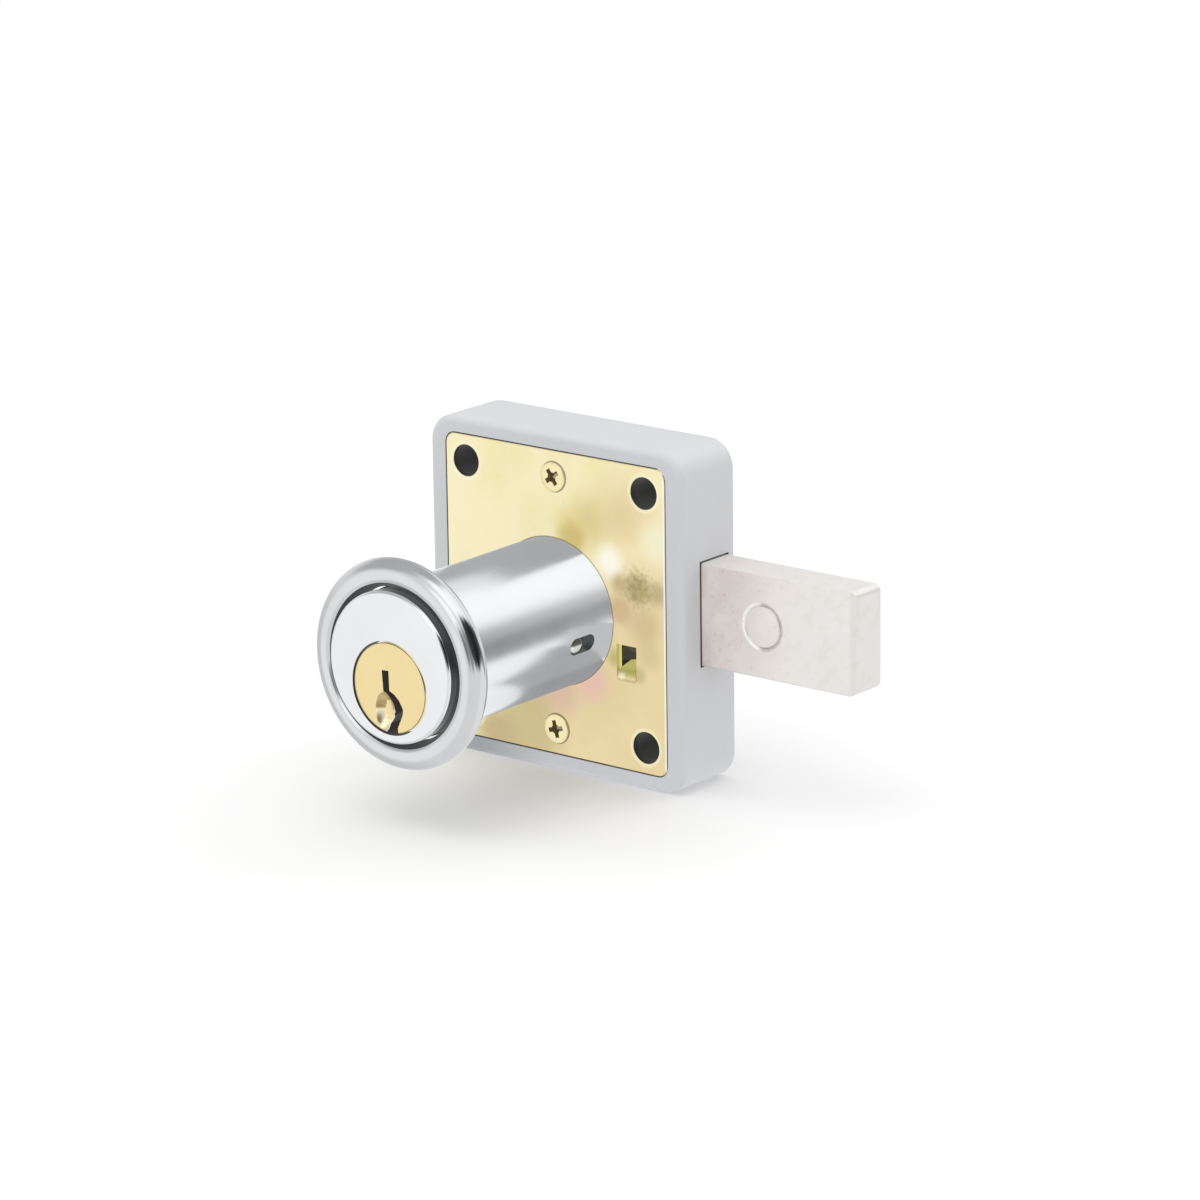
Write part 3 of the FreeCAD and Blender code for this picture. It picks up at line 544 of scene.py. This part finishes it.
def makeCoverPlate():
    size = plateSize
    hx, hz, thick = size["halfWide"], size["halfHigh"], size["thick"]
    bm = roundedBox(-hx, hx, -hz, hz, size["corner"], 0, thick, 8)
    bevelWhere(bm, atY(0), size["edge"], 3)
    mirror = 2 * plugX
    windows = [size["windowX"], (mirror - size["windowX"][1], mirror - size["windowX"][0])]
    hinge, windowTop = size["windowZ"][0] - size["bendRadius"] - thick, size["windowZ"][1]
    cuts = [rod(x, z, mountRadius, -1, 3) for x, z in mountHoles]
    cuts += [rod(0, s * coverScrewZ, size["screwHole"], -1, 3, 32) for s in (-1, 1)]
    cuts.append(rod(plugX, plugZ, size["neckHole"], -1, 3))
    for x, z in barrelScrews:
        cuts.append(rod(x, z, barrel["screwHole"], -1, 0.05, 32))
        cuts.append(rod(x, z, barrel["screwHole"], 0.05, thick + 0.01, 32, size["barrelSink"]))
    cuts += [box(x0, x1, -1, 3, hinge, windowTop) for x0, x1 in windows]
    bm = combine(bm, cuts=cuts)
    for x, z in mountHoles:
        bevelRing(bm, x, z, mountRadius, 0, size["holeEdge"], 4)

    def onWindow(a, b):
        return any(atY(0)(a, b) and max(a.z, b.z) > hinge + 0.05 and
                   all(x0 - 0.01 < p.x < x1 + 0.01 and hinge - 0.01 < p.z < windowTop + 0.01 for p in (a, b))
                   for x0, x1 in windows)

    bevelWhere(bm, onWindow, size["windowEdge"], 3)
    bm = combine(bm, joins=[makeTab(size, 1), makeTab(size, -1)])

    def inGap(centre, normal):  # the holes' walls and the plate's own edge see no light
        atWindow = any(x0 - 0.2 < centre.x < x1 + 0.2 for x0, x1 in windows)
        if atWindow and hinge - 1.5 < centre.z < windowTop + 0.1:
            return 2 if normal.y > -0.45 or centre.y > 0.5 else 0  # greener where it was cut and bent
        if abs(normal.y) > 0.3 or centre.y < size["holeEdge"]:
            return 0
        onEdge = abs(centre.x) > hx - 0.05 or abs(centre.z) > hz - 0.05
        inHole = any(hypot(centre.x - x, centre.z - z) < mountRadius + 0.05 for x, z in mountHoles)
        return 1 if onEdge or inHole else 0

    finishPiece(bm, "coverPlate", "lock_body", "cover_plate", [yellowZinc, gapShade, tabZinc], inGap)


makeCoverPlate()


# cover screws

screwSize = {"rim": 0.26, "rimEdge": 0.1, "crown": 0.46, "shank": 1.45, "length": 7.0,
             "wingWide": 0.8, "wingLong": 3.1, "deep": 1.15, "foot": (0.45, 1, 0.6), "pit": 0.85, "pitFoot": 0.15,
             "pitDeep": 0.35, "turns": {1: 54.5, -1: -15.0}}
screwZinc = makeBrass("screwZinc", (246, 238, 200), (226, 208, 150), 0.3)
recessShade = makeShadeMetal("recessShade", (124, 100, 54), (88, 68, 34))


def crossCutter(z, turn):  # two tapered wings and a pointed middle
    size = screwSize
    half, wide, top = size["wingLong"] / 2, size["wingWide"] / 2, -size["crown"] - 0.3
    wings = []
    for k in (0, 1):
        wing = box(-half, half, top, -size["crown"] + size["deep"], -wide, wide)
        bmesh.ops.scale(wing, vec=size["foot"], verts=[v for v in wing.verts if v.co.y > top + 0.1])
        wings.append(moved(wing, turn + 90 * k, by=(0, 0, z)))
    pit = rod(0, z, size["pit"], -size["crown"] - 0.02, size["pitDeep"], 4, size["pitFoot"])
    return wings + [moved(pit, turn + 45, about=(0, 0, z))]


def makeCoverScrews():
    size = screwSize
    r, rim, crown = coverScrewRadius, size["rim"], size["crown"]
    whole = bmesh.new()
    for s in (1, -1):
        z = s * coverScrewZ
        arc = [(r * sin(a), -rim - (crown - rim) * cos(a)) for a in
               [radians(9 * k) for k in range(1, 11)]]
        shank = [(r, 0), (size["shank"], 0), (size["shank"], size["length"]), (0, size["length"])]
        bm = turned([(0, -crown)] + arc + shank, 0, z, 64)
        bevelRing(bm, 0, z, r, -rim, size["rimEdge"], 2)
        bm = combine(bm, cuts=crossCutter(z, size["turns"][s]))
        part = bpy.data.meshes.new("screwPart")
        bm.to_mesh(part)
        bm.free()
        whole.from_mesh(part)
        bpy.data.meshes.remove(part)

    def inRecess(centre, normal):
        far = min(hypot(centre.x, centre.z - s * coverScrewZ) for s in (1, -1))
        return 1 if far < 1.7 and -crown + 0.03 < centre.y < 1.5 and normal.y > -0.95 else 0

    finishPiece(whole, "coverScrews", "lock_body", "cover_screws", [screwZinc, recessShade], inRecess,
                30)


makeCoverScrews()


# barrel: sleeve, core with its face, keeper pin

# Chrome of each piece: tone, roughness
chromeLook = {"sleeve": ((238, 240, 242), 0.22), "face": ((228, 229, 230), 0.1), "ring": ((213, 214, 216), 0.09)}
sleeveSize = {"wall": 1.15, "front": -35.6, "seat": -32.5, "seatStep": 0.2, "floor": -4.2, "neck": 5.0,
              "windowAngle": 8.8, "windowY": -7.0, "windowLong": 5.6, "windowWide": 2.6, "windowIn": 9.2,
              "windowEdge": 0.3}
coreSize = {"radius": 10.1, "face": -37.3, "flange": -35.6, "back": -5.6, "faceEdge": 0.45, "bore": 5.95,
            "mouth": 7.0, "mouthEnd": -34.55, "mouthBevel": 0.1, "stripX": 1.7, "strip": (-34.0, -13.6),
            "stripLow": 7.876, "keeper": 1.325, "keeperIn": 7.55}
keeperSize = {"y": -7.8, "radius": 1.3, "from": 7.65, "to": 11.05, "round": 0.55, "darkReflectionZ": (-3.1, -2.7)}


def makeChrome(name, color, roughness, **stretch):
    material, tree, surface = newMaterial(name, 1.0, roughness)
    drift = placeEffect(tree, "surfaceDrift", Patch_Scale=70, Peel_Scale=420, Contrast=1.2)
    lines = placeEffect(tree, "hairLines", Scale=140, Level=0.64, **stretch)
    tone = mixColor(tree, drift["Drift"], tuple(c * 0.93 for c in color), color)
    dress(tree, surface, tone, drift, (roughness * 0.8, roughness * 1.25), lines, 0.05)
    bump(tree, surface, drift["Peel"], 0.000006, 0.5)
    return material


sleeveChrome = makeChrome("sleeveChrome", *chromeLook["sleeve"], Stretch_X=5, Stretch_Y=0.06, Stretch_Z=5)
faceChrome = makeChrome("faceChrome", *chromeLook["face"], Stretch_Z=4)
gapShadeSteel = makeSteel("gapShadeSteel", (80, 84, 84), (56, 59, 60), 0.3)
ringShade = makeShadeMetal("ringShade", (84, 88, 88), (56, 60, 60))


def laidRadially(bm, y):  # drawn standing on Y, turned to point out through the window
    return moved(moved(bm, -90, "Z", by=(0, y, 0)), sleeveSize["windowAngle"], by=(barrelX, 0, barrelZ))


def fromBarrel(point):  # distance from the barrel's axis
    return hypot(point.x - barrelX, point.z - barrelZ)


def makeSleeve():
    size = sleeveSize
    r, floor, front = barrel["radius"], size["floor"], size["front"]
    inner, seat = r - size["wall"], r - size["seatStep"]
    bm = turned([(0, floor), (inner, floor), (inner, front), (seat, front), (seat, size["seat"]), (r, size["seat"]),
                 (r, 0), (0, 0)], barrelX, barrelZ, 160)
    cuts = [rod(plugX, plugZ, size["neck"], floor - 1, 1)]
    cuts += [rod(x, z, barrel["screwHole"], floor - 1, 1, 32) for x, z in barrelScrews]
    long, wide = size["windowLong"], size["windowWide"]
    window = box(-long / 2, long / 2, size["windowIn"], r + 1, -wide / 2, wide / 2)
    bevelWhere(window, alongY, wide / 2 - 0.001, 10)
    bm = combine(bm, cuts=cuts + [laidRadially(window, size["windowY"])])

    def byWindow(point, within):
        return point.x > 5 and abs(point.y - size["windowY"]) < long / 2 + within

    rim = [e for e in bm.edges if e.is_manifold and e.calc_face_angle(0) > radians(50)
           and all(byWindow(v.co, 0.05) and fromBarrel(v.co) > r - 0.05 for v in e.verts)]
    bevelEdges(bm, rim, size["windowEdge"], 4)

    def inWindow(centre, normal):  # painted shade on the walls of the window and on the bare seat under the trim ring
        if centre.y < size["seat"] + 0.01 and fromBarrel(centre) < r - 0.02:
            return 2
        return 1 if byWindow(centre, 0.1) and fromBarrel(centre) < r - 0.16 else 0

    finishPiece(bm, "barrelSleeve", "lock_body", "barrel_sleeve",
                [sleeveChrome, gapShadeSteel, ringShade], inWindow)


def makeCore():
    size = coreSize
    r, face = barrel["radius"], size["face"]
    bm = turned([(0, face), (r, face), (r, size["flange"]), (size["radius"], size["flange"]),
                 (size["radius"], size["back"]), (0, size["back"])], barrelX, barrelZ, 160)
    bevelRing(bm, barrelX, barrelZ, r, face, size["faceEdge"], 5)
    px, pz = plugX, plugZ
    cuts = [rod(px, pz, size["bore"], face - 1, 0, 96), rod(px, pz, size["mouth"], face - 1, size["mouthEnd"], 96)]
    cuts += chamberCutters(middle=10.5, high=13)
    cuts.append(box(px - size["stripX"], px + size["stripX"], *size["strip"], size["stripLow"], 12))
    cuts.append(laidRadially(rod(0, 0, size["keeper"], size["keeperIn"], 13, 48), keeperSize["y"]))
    bm = combine(bm, cuts=cuts)
    bevelRing(bm, px, pz, size["mouth"], face, size["mouthBevel"], 3)

    def onSide(centre, normal):  # painted shade on the dark side wall of the face, the core under the sleeve and the plug bore
        far, near = fromBarrel(centre), hypot(centre.x - px, centre.z - pz)
        if abs(normal.y) > 0.1 or centre.y < face + 0.13:
            return 0
        return 1 if far > r - 0.1 else 2 if far > size["radius"] - 0.1 or near < size["mouth"] + 0.05 else 0

    finishPiece(bm, "coreWithFace", "lock_body", "cylinder_core", [faceChrome, gapShadeSteel, gapShade],
                onSide)


def makeKeeperPin():
    size = keeperSize
    bm = laidRadially(rod(0, 0, size["radius"], size["from"], size["to"], 48), size["y"])
    rim = [e for e in bm.edges if all(fromBarrel(v.co) > size["to"] - 0.5 for v in e.verts)]
    bevelEdges(bm, rim, size["round"], 5)
    material, tree, surface = newMaterial("keeperSteel", 0.4, 0.3)
    drift = placeEffect(tree, "surfaceDrift", Patch_Scale=300, Peel_Scale=1800, Contrast=1.2)
    # near white: a painted reflection of the white studio on the pin's lower half
    tone = mixColor(tree, drift["Drift"], (240, 240, 238), (252, 252, 250))
    darkReflection = beyond(tree, "Z", *size["darkReflectionZ"])  # its upper half is painted dark, a painted reflection
    tree.links.new(mixColor(tree, darkReflection, tone, (92, 88, 82)), surface["Base Color"])
    bump(tree, surface, drift["Peel"], 0.00001, 0.5)
    finishPiece(bm, "keeperPin", "lock_body", "core_keeper_pin", [material])


makeSleeve()
makeCore()
makeKeeperPin()


# plug with its keyway

plugSize = {"face": -37.28, "flat": 6.0, "head": 6.73, "step": -34.6, "crown": 0.14, "body": 5.9, "bodyEnd": -4.45,
            "groove": (-5.6, -4.7), "neck": 4.6, "camFront": 1.6, "tenon": 2.9, "flats": 2.2, "tenonEnd": 2.85,
            "screwHole": 1.5, "keyDepth": -13.3, "hollow": (-0.95, -3.6), "hollowRadii": (1.75, 1.1, 2.9)}
keyway = [(-0.1, 2.6), (0.0, -0.38), (0.85, -0.75), (1.75, -1.5), (2.48, -2.7), (2.45, -3.5), (1.95, -4.7),
          (1.5, -5.6), (1.4, -7.3), (-0.6, -7.3), (-0.52, -5.5), (0.2, -4.6), (1.0, -3.8), (0.5, -3.45),
          (0.1, -2.7), (-0.6, -1.75), (-1.15, -0.7), (-1.38, 2.5)]


def flatCutter(points, y0, y1):  # outline about the plug's axis, pushed along Y
    bm = bmesh.new()
    face = bm.faces.new([bm.verts.new((plugX + x, y0, plugZ + z)) for x, z in points])
    pushed(bm, [face], (0, y1 - y0, 0))
    bmesh.ops.recalc_face_normals(bm, faces=bm.faces)
    return bm


def makeHollowBrass():  # milled hollow, with painted shade above and a painted highlight where it opens below
    material, tree, surface = newMaterial("hollowBrass", 0.8, 0.3)
    drift = placeEffect(tree, "surfaceDrift", Patch_Scale=500, Peel_Scale=1800, Contrast=2)
    shadedBrown = mixColor(tree, drift["Drift"], (140, 108, 56), (216, 196, 146))
    lower = beyond(tree, "Z", plugZ - 3.2, plugZ - 3.7)
    tree.links.new(mixColor(tree, lower, shadedBrown, (250, 240, 204)), surface["Base Color"])
    bump(tree, surface, drift["Peel"], 0.00003, 0.6)
    return material


def makePlug():
    size = plugSize
    px, pz = plugX, plugZ
    face, body, neck, tenon, camFront = (size[k] for k in ("face", "body", "neck", "tenon", "camFront"))
    g0, g1 = size["groove"]
    wide = size["head"] - size["flat"]
    rim = [(size["flat"] + wide * sin(a), face + size["crown"] * (1 - cos(a)))
           for a in [radians(15 * k) for k in range(7)]]
    bm = turned([(0, face)] + rim + [
        (size["head"], size["step"]), (body, size["step"]), (body, g0), (neck, g0), (neck, g1), (body, g1),
        (body, size["bodyEnd"]), (neck, size["bodyEnd"]), (neck, camFront), (tenon, camFront),
        (tenon, size["tenonEnd"]), (0, size["tenonEnd"])], px, pz, 128)
    cuts = [flatCutter(keyway, face - 1, size["keyDepth"])]
    cuts.append(box(px - 4, px + 4, camFront, 4, pz + size["flats"], pz + 4))
    cuts.append(box(px - 4, px + 4, camFront, 4, pz - 4, pz - size["flats"]))
    cuts.append(rod(px, pz, size["screwHole"], -3.7, 5, 32))
    hollow = bmesh.new()  # round bottomed hollow that leads the key in
    bmesh.ops.create_uvsphere(hollow, u_segments=48, v_segments=24, radius=1.0)
    (hx, hz), (rx, ry, rz) = size["hollow"], size["hollowRadii"]
    bmesh.ops.scale(hollow, vec=(rx, ry, rz), verts=hollow.verts)
    cuts.append(moved(hollow, by=(px + hx, face, pz + hz)))
    bm = combine(bm, cuts=cuts + chamberCutters(middle=4, high=8))

    def inKeyway(centre, normal):
        x, z, y = centre.x - px, centre.z - pz, centre.y - face
        if hypot(x, z) > size["head"] - 0.05 or abs(normal.y) > 0.97:
            return 0
        inHollow = y < ry + 0.05 and normal.y < -0.05 and hypot((x - hx) / rx, (z - hz) / rz) < 1.01
        return 2 if inHollow else 1

    plugBrass = makeBrass("plugBrass", (228, 212, 162), (222, 200, 146), 0.16)
    keywayShade = makeShadeMetal("keywayShade", (52, 36, 22), (30, 22, 16))
    finishPiece(bm, "brassPlug", "plug", "plug", [plugBrass, keywayShade, makeHollowBrass()], inKeyway,
                28)


makePlug()


# trim ring

ringSize = {"crownRadius": 13.3, "middle": -34.55, "outWide": 2.4, "outHigh": 1.85, "inWide": 1.35, "inHigh": 0.9,
            "bore": 11.55, "back": -32.7, "backEdge": 0.25}


def makeTrimRing():
    size = ringSize
    top, front, edge = size["crownRadius"], size["middle"] - size["outHigh"], size["backEdge"]
    outer = [(top + size["outWide"] * sin(a), size["middle"] - size["outHigh"] * cos(a)) for a in
             [radians(10 * k) for k in range(18)]]
    inner = [(top - size["inWide"] * sin(a), front + size["inHigh"] * (1 - cos(a))) for a in
             [radians(12 * k) for k in range(7, 0, -1)]]
    lip = top - size["inWide"]
    back = [(size["bore"] + edge, size["back"]), (size["bore"], size["back"] - edge),
            (size["bore"], front + size["inHigh"] + 0.6)]
    bm = turned(inner + outer + back, barrelX, barrelZ, 160, closed=True)
    ringChrome = makeChrome("ringChrome", *chromeLook["ring"])

    def inBore(centre, normal):  # the bore and its lip see no light
        return 1 if fromBarrel(centre) < lip + 0.4 else 0

    finishPiece(bm, "trimRingDomed", "trim_ring", "trim_ring", [ringChrome, ringShade], inBore, 40)


makeTrimRing()


# bolt and its insert

boltLook = {"tone": (237, 233, 230), "deep": (214, 203, 198), "cloud": (224, 222, 216), "grain": (190, 184, 180),
            "speck": (176, 164, 160), "grooveLight": (252, 250, 244), "shaded": (196, 188, 182), "insideShade": (58, 54, 48),
            "darkeningX": (24.0, 44.0), "topZ": (8.8, 8.98), "grooveIn": (3.05, 3.2), "grooveOut": (3.55, 3.8),
            "grooveLightToShadeX": (33.9, 35.4), "insideShadeX": (23.9, 24.04), "roughness": (0.34, 0.5)}
boltSize = {"y": (4.45, 10.95), "z": (-6.6, 9.0), "start": 13.4, "end": 51.55, "endCorner": 1.1, "endRound": 1.2,
            "edge": 0.22, "insertAt": (35.05, 1.2), "insertRadius": 3.08, "insertGap": 0.05, "insertSink": 0.5,
            "insertEdge": 0.16, "earX": (7.304, 20.296), "earTop": 12.79, "earCorner": 1.6, "grooveDeep": 3.3,
            "grooveRadius": 1.58, "crank": 13.85}


def makeBoltNickel():
    look = boltLook
    material, tree, surface = newMaterial("boltNickel", 0.3, 0.4)
    drift = placeEffect(tree, "surfaceDrift", Patch_Scale=110, Peel_Scale=1400, Contrast=1.7)
    grain = placeEffect(tree, "fineGrain", Scale=2400, Speck_Scale=1500, Speck_Level=0.64)
    front = beyond(tree, "Z", *look["topZ"], 1.0, 0.25)  # the top face takes a quarter of the darkening: painted light on the top
    # darker towards the case
    inner = times(tree, beyond(tree, "X", *look["darkeningX"], 1.0, 0.0), front)
    darkening = times(tree, inner, mapRange(tree, drift["Drift"], 0.2, 0.75, 0.45, 1.0))
    tone = mixColor(tree, darkening, look["tone"], look["deep"])
    cloud = mapRange(tree, noiseNode(tree, objectPlace(tree), 420.0), 0.5, 0.64, 0.0, 0.35)
    tone = tinted(tree, tone, look["cloud"], cloud)
    tone = tinted(tree, tone, look["grain"], grain["Grain"], 0.14)
    speckShare = mathNode(tree, "ADD", times(tree, darkening, 0.3), 0.06)
    tone = tinted(tree, tone, look["speck"], grain["Specks"], speckShare)
    # painted light on the left of the sunk edge round the insert, painted shade on its right
    x, z = boltSize["insertAt"]
    disc, inside = (nearPoint(tree, (x, boltSize["y"][0], z), *look[k]) for k in ("grooveOut", "grooveIn"))
    groove = mathNode(tree, "SUBTRACT", disc, inside)
    grooveLight = mixColor(tree, beyond(tree, "X", *look["grooveLightToShadeX"]), look["grooveLight"], look["shaded"])
    tone = tinted(tree, tone, grooveLight, groove, mapRange(tree, grain["Grain"], 0.3, 0.6, 0.5, 1.0))
    tone = tinted(tree, tone, look["insideShade"], beyond(tree, "X", *look["insideShadeX"], 1.0, 0.0))  # painted shade where the bolt lies inside the case
    dress(tree, surface, tone, drift, look["roughness"])
    bump(tree, surface, grain["Grain"], 0.00002, 0.5)
    return material


boltNickel = makeBoltNickel()


def grooveOutline(crank, r):  # leaf shaped, so that the bolt moves evenly with the plug
    points = []
    for side, angles in ((1, range(0, 91, 9)), (-1, range(90, -1, -9))):
        for degree in angles:
            t = radians(degree)
            drift = crank * (cos(t) - 1 + 2 * t / pi)
            nx, nz = cos(t), sin(t) - 2 / pi
            length = hypot(nx, nz)
            if length < 0.2:
                nx, nz, length = 0.0, 1.0, 1.0
            points.append((crank + side * (drift + r * nx / length), crank * sin(t) + r * nz / length))
    foot = [radians(degree) for degree in range(200, 350, 20)]
    return points + [(crank + r * cos(a), r * sin(a)) for a in foot]


def makeBolt():
    size = boltSize
    (y0, y1), (z0, z1), (ex0, ex1) = size["y"], size["z"], size["earX"]
    end, r = size["end"], size["endRound"]
    hole = size["insertRadius"] + size["insertGap"]
    bm = roundedBox(size["start"], end, z0, z1, size["endCorner"], y0, y1, 6)
    bm = combine(bm, joins=[roundedBox(ex0, ex1, z0, size["earTop"], size["earCorner"], y0, y1, 6)])
    # inner corner faces lie in the front and back planes, so the outline there is one loop
    bmesh.ops.dissolve_limit(bm, angle_limit=radians(0.5), verts=bm.verts, edges=bm.edges)
    bevelWhere(bm, atY(y0), size["edge"], 3)
    bevelWhere(bm, atY(y1), size["edge"], 3)
    groove = flatCutter(grooveOutline(size["crank"], size["grooveRadius"]), y0 - 1, y0 + size["grooveDeep"])
    bar = post(end - r, y0 + r, (z0 + z1) / 2, r, z1 - z0 + 4, 64)  # the end's soft front edge
    waste = combine(box(end - r, end + 1, y0 - 1, y0 + r, z0 - 1, z1 + 1), cuts=[bar])
    bm = combine(bm, cuts=[rod(*size["insertAt"], hole, y0 - 1, y1 + 1, 96), groove, waste])
    for y in (y0, y1):
        bevelRing(bm, *size["insertAt"], hole, y, size["insertSink"], 4)
    finishPiece(bm, "deadBolt", "bolt", "bolt", [boltNickel])


def makeInsert():
    size = boltSize
    bm = rod(*size["insertAt"], size["insertRadius"], *size["y"], 96)
    for y in size["y"]:
        bevelRing(bm, *size["insertAt"], size["insertRadius"], y, size["insertEdge"], 3)
    finishPiece(bm, "boltInsert", "bolt", "bolt_insert", [boltNickel])


makeBolt()
makeInsert()


# finishes of the inner pieces that stay as they are: material, how their names begin

innerFinishes = [
    (makeSteel("driverSteel", (190, 190, 192), (170, 170, 173), 0.28), "driver_pin_"),
    (makeSteel("springWire", (180, 181, 184), (150, 151, 155), 0.3), "pin_spring_"),
    (makeBrass("pinBrass", (226, 196, 120), (206, 172, 96), 0.26), ("key_pin_", "chamber_strip")),
    (makeSteel("clipSteel", (116, 118, 122), (88, 90, 94), 0.45), "plug_clip"),
    (makeSteel("camSteel", (84, 78, 68), (60, 55, 46), 0.45, 0.5), ("drive_cam", "cam_screw")),
    (makeSteel("crankSteel", (104, 96, 80), (78, 70, 56), 0.35, 0.6), "crank_pin"),
    (screwZinc, "barrel_screws")]
for material, starts in innerFinishes:
    for name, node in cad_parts.items():
        if name.startswith(starts):
            node.visible_glossy = False
            for slot in node.material_slots:
                slot.material = material
print("inner finishes set")


# floor, background, light and camera

stageLook = {"floorZ": -25.85, "floorSize": 8000.0, "floorTone": 0.9, "ambient": 0.96, "whiteFrom": 120.0,
             "whiteTo": 380.0}

# What polished metal sees of the studio besides white: where it lies, its inner and outer half angle, its tone
studioShades = [
    ((0.659, 0.75, -0.02), 4, 15, 0.3),  # dark band along the barrel
    ((0.779, -0.546, 0.309), 17, 27, 0.05), ((0.919, -0.195, 0.342), 20, 29, 0.02),  # dark patch in the ring
    ((0.925, 0.163, 0.342), 14, 25, 0.05), ((0.815, 0.509, 0.276), 10, 22, 0.12),
    ((0.62, -0.76, 0.2), 7, 16, 0.1), ((0.42, -0.90, 0.09), 8, 18, 0.35), ((0.1, -0.99, 0.0), 3, 13, 0.25),
    ((-0.462, 0.082, 0.883), 26, 44, 0.6), ((-0.682, -0.394, 0.616), 16, 34, 0.62),  # grey above
    ((-0.56, 0.74, 0.37), 8, 18, 0.58), ((-0.6, 0.75, 0.28), 8, 20, 0.6),
    ((-0.816, 0.07, -0.574), 20, 46, 0.82)]  # a little less from the left
studioGlows = [
    ((-0.604, -0.75, -0.27), 14, 32, 1.18),  # fill on the front
    ((0.229, -0.629, 0.743), 12, 26, 1.5), ((0.497, -0.287, 0.819), 12, 26, 1.45),  # streak in the ring
    ((-0.08, -0.96, 0.26), 8, 18, 1.45), ((0.492, 0.087, 0.866), 12, 26, 1.35),
    ((0.75, 0.433, -0.5), 24, 50, 1.12), ((0.27, 0.75, 0.60), 12, 26, 1.18)]  # white band along the barrel

# What the barrel sees of the plate, as plain grey cards that only reflections see: X and Z range, tone
plateShades = [(-23.5, 5.3, 8, 25, 0.47), (-23.5, 5.3, 25, 25.6, 0.2), (-23.5, 9.5, -25.5, -8, 0.38),
               (9.5, 23.5, -25.5, -8, 0.48), (9.5, 20.7, -8, -1.5, 0.64)]


def makePlateShades():
    for x0, x1, z0, z1, tone in plateShades:
        card = helperObject(box(x0 * mm, x1 * mm, 0.55 * mm, 0.65 * mm, z0 * mm, z1 * mm), "plateShade")
        card.visible_camera = card.visible_diffuse = card.visible_shadow = card.visible_transmission = False
        material, tree, surface = newMaterial("plateShade", 0.0, 1.0)
        glow = tree.nodes.new("ShaderNodeEmission")
        glow.inputs["Color"].default_value = (tone, tone, tone, 1)
        tree.links.new(glow.outputs[0], tree.nodes["Material Output"].inputs["Surface"])
        card.data.materials.append(material)


def makeFloor():  # plain near the object, and plain white for the camera far from it
    look = stageLook
    bm = bmesh.new()
    bmesh.ops.create_grid(bm, x_segments=1, y_segments=1, size=look["floorSize"] / 2 * mm)
    floor = helperObject(moved(bm, by=(0, 0, look["floorZ"] * mm)), "floor")
    floor.visible_glossy = floor.visible_diffuse = False  # the object sees the white studio instead
    material, tree, surface = newMaterial("floorWhite", 0.0, 0.9)
    surface["Base Color"].default_value = (look["floorTone"],) * 3 + (1.0,)
    glow = tree.nodes.new("ShaderNodeEmission")
    blend = tree.nodes.new("ShaderNodeMixShader")
    seen = tree.nodes.new("ShaderNodeLightPath").outputs["Is Camera Ray"]
    far = mapRange(tree, awayFrom(tree, (0, 0, 0)), look["whiteFrom"] * mm, look["whiteTo"] * mm)
    wire(tree, [(times(tree, far, seen), blend.inputs[0]), (glow.outputs[0], blend.inputs[2]),
                (tree.nodes["Principled BSDF"].outputs[0], blend.inputs[1]),
                (blend.outputs[0], tree.nodes["Material Output"].inputs["Surface"])])
    floor.data.materials.append(material)


def makeWorld():
    world = bpy.data.worlds.new("studio")
    world.use_nodes = True
    scene.world = world
    tree = world.node_tree
    direction = tree.nodes.new("ShaderNodeTexCoord").outputs["Generated"]
    levels = []
    for patches, keep in ((studioShades, "MINIMUM"), (studioGlows, "MAXIMUM")):
        level = 1.0
        for toward, inner, outer, tone in patches:
            near = vectorNode(tree, "DOT_PRODUCT", direction, Vector(toward).normalized())
            patch = mapRange(tree, near, cos(radians(outer)), cos(radians(inner)), 1.0, tone)
            level = mathNode(tree, keep, patch, level)
        levels.append(level)
    ray = tree.nodes.new("ShaderNodeLightPath").outputs
    reflected = times(tree, ray["Is Glossy Ray"], times(tree, *levels))
    seen = mathNode(tree, "MAXIMUM", ray["Is Camera Ray"], ray["Is Transmission Ray"])
    plain = mathNode(tree, "SUBTRACT", 1.0, mathNode(tree, "MAXIMUM", seen, ray["Is Glossy Ray"]))
    lit = times(tree, plain, stageLook["ambient"])
    back = tree.nodes["Background"].inputs
    back["Color"].default_value = (1, 1, 1, 1)
    tree.links.new(mathNode(tree, "ADD", mathNode(tree, "ADD", seen, reflected), lit), back["Strength"])


def makeLight(name, place, size, power):  # soft lamp that faces the middle
    light = bpy.data.lights.new(name, "AREA")
    light.shape = "RECTANGLE"
    light.size, light.size_y = size[0] * mm, size[1] * mm
    light.energy = power
    holder = bpy.data.objects.new(name, light)
    holder.visible_glossy = False  # chrome sees only the studio's own soft patches
    scene.collection.objects.link(holder)
    start = Vector(place) * mm
    holder.matrix_world = Matrix.Translation(start) @ (-start).to_track_quat("-Z", "Y").to_matrix().to_4x4()


def makeCamera():
    view = {"place": (479.116, -583.852, 212.661), "back": (0.60417, -0.74953, 0.27054), "azimuth": 38.871,
            "roll": -0.766, "lens": 158.69}
    camera = bpy.data.objects.new("camera", bpy.data.cameras.new("camera"))
    scene.collection.objects.link(camera)
    camera.data.sensor_width = 36.0
    camera.data.lens = view["lens"]
    a, t = radians(view["azimuth"]), radians(view["roll"])
    backward = Vector(view["back"]).normalized()
    right = Vector((cos(a), sin(a), 0))
    up = backward.cross(right)
    right, up = right * cos(t) + up * sin(t), up * cos(t) - right * sin(t)
    turn = Matrix((right, up, backward)).transposed().to_4x4()
    camera.matrix_world = Matrix.Translation(Vector(view["place"]) * mm) @ turn
    scene.camera = camera


makeFloor()
makeWorld()
makePlateShades()
makeLight("topSoft", (-60, -120, 620), (520, 520), 1.0)
makeLight("backSoft", (224, 600, 480), (430, 330), 0.5)
makeCamera()
scene.view_settings.view_transform = "Standard"
print("stage, light and camera set")
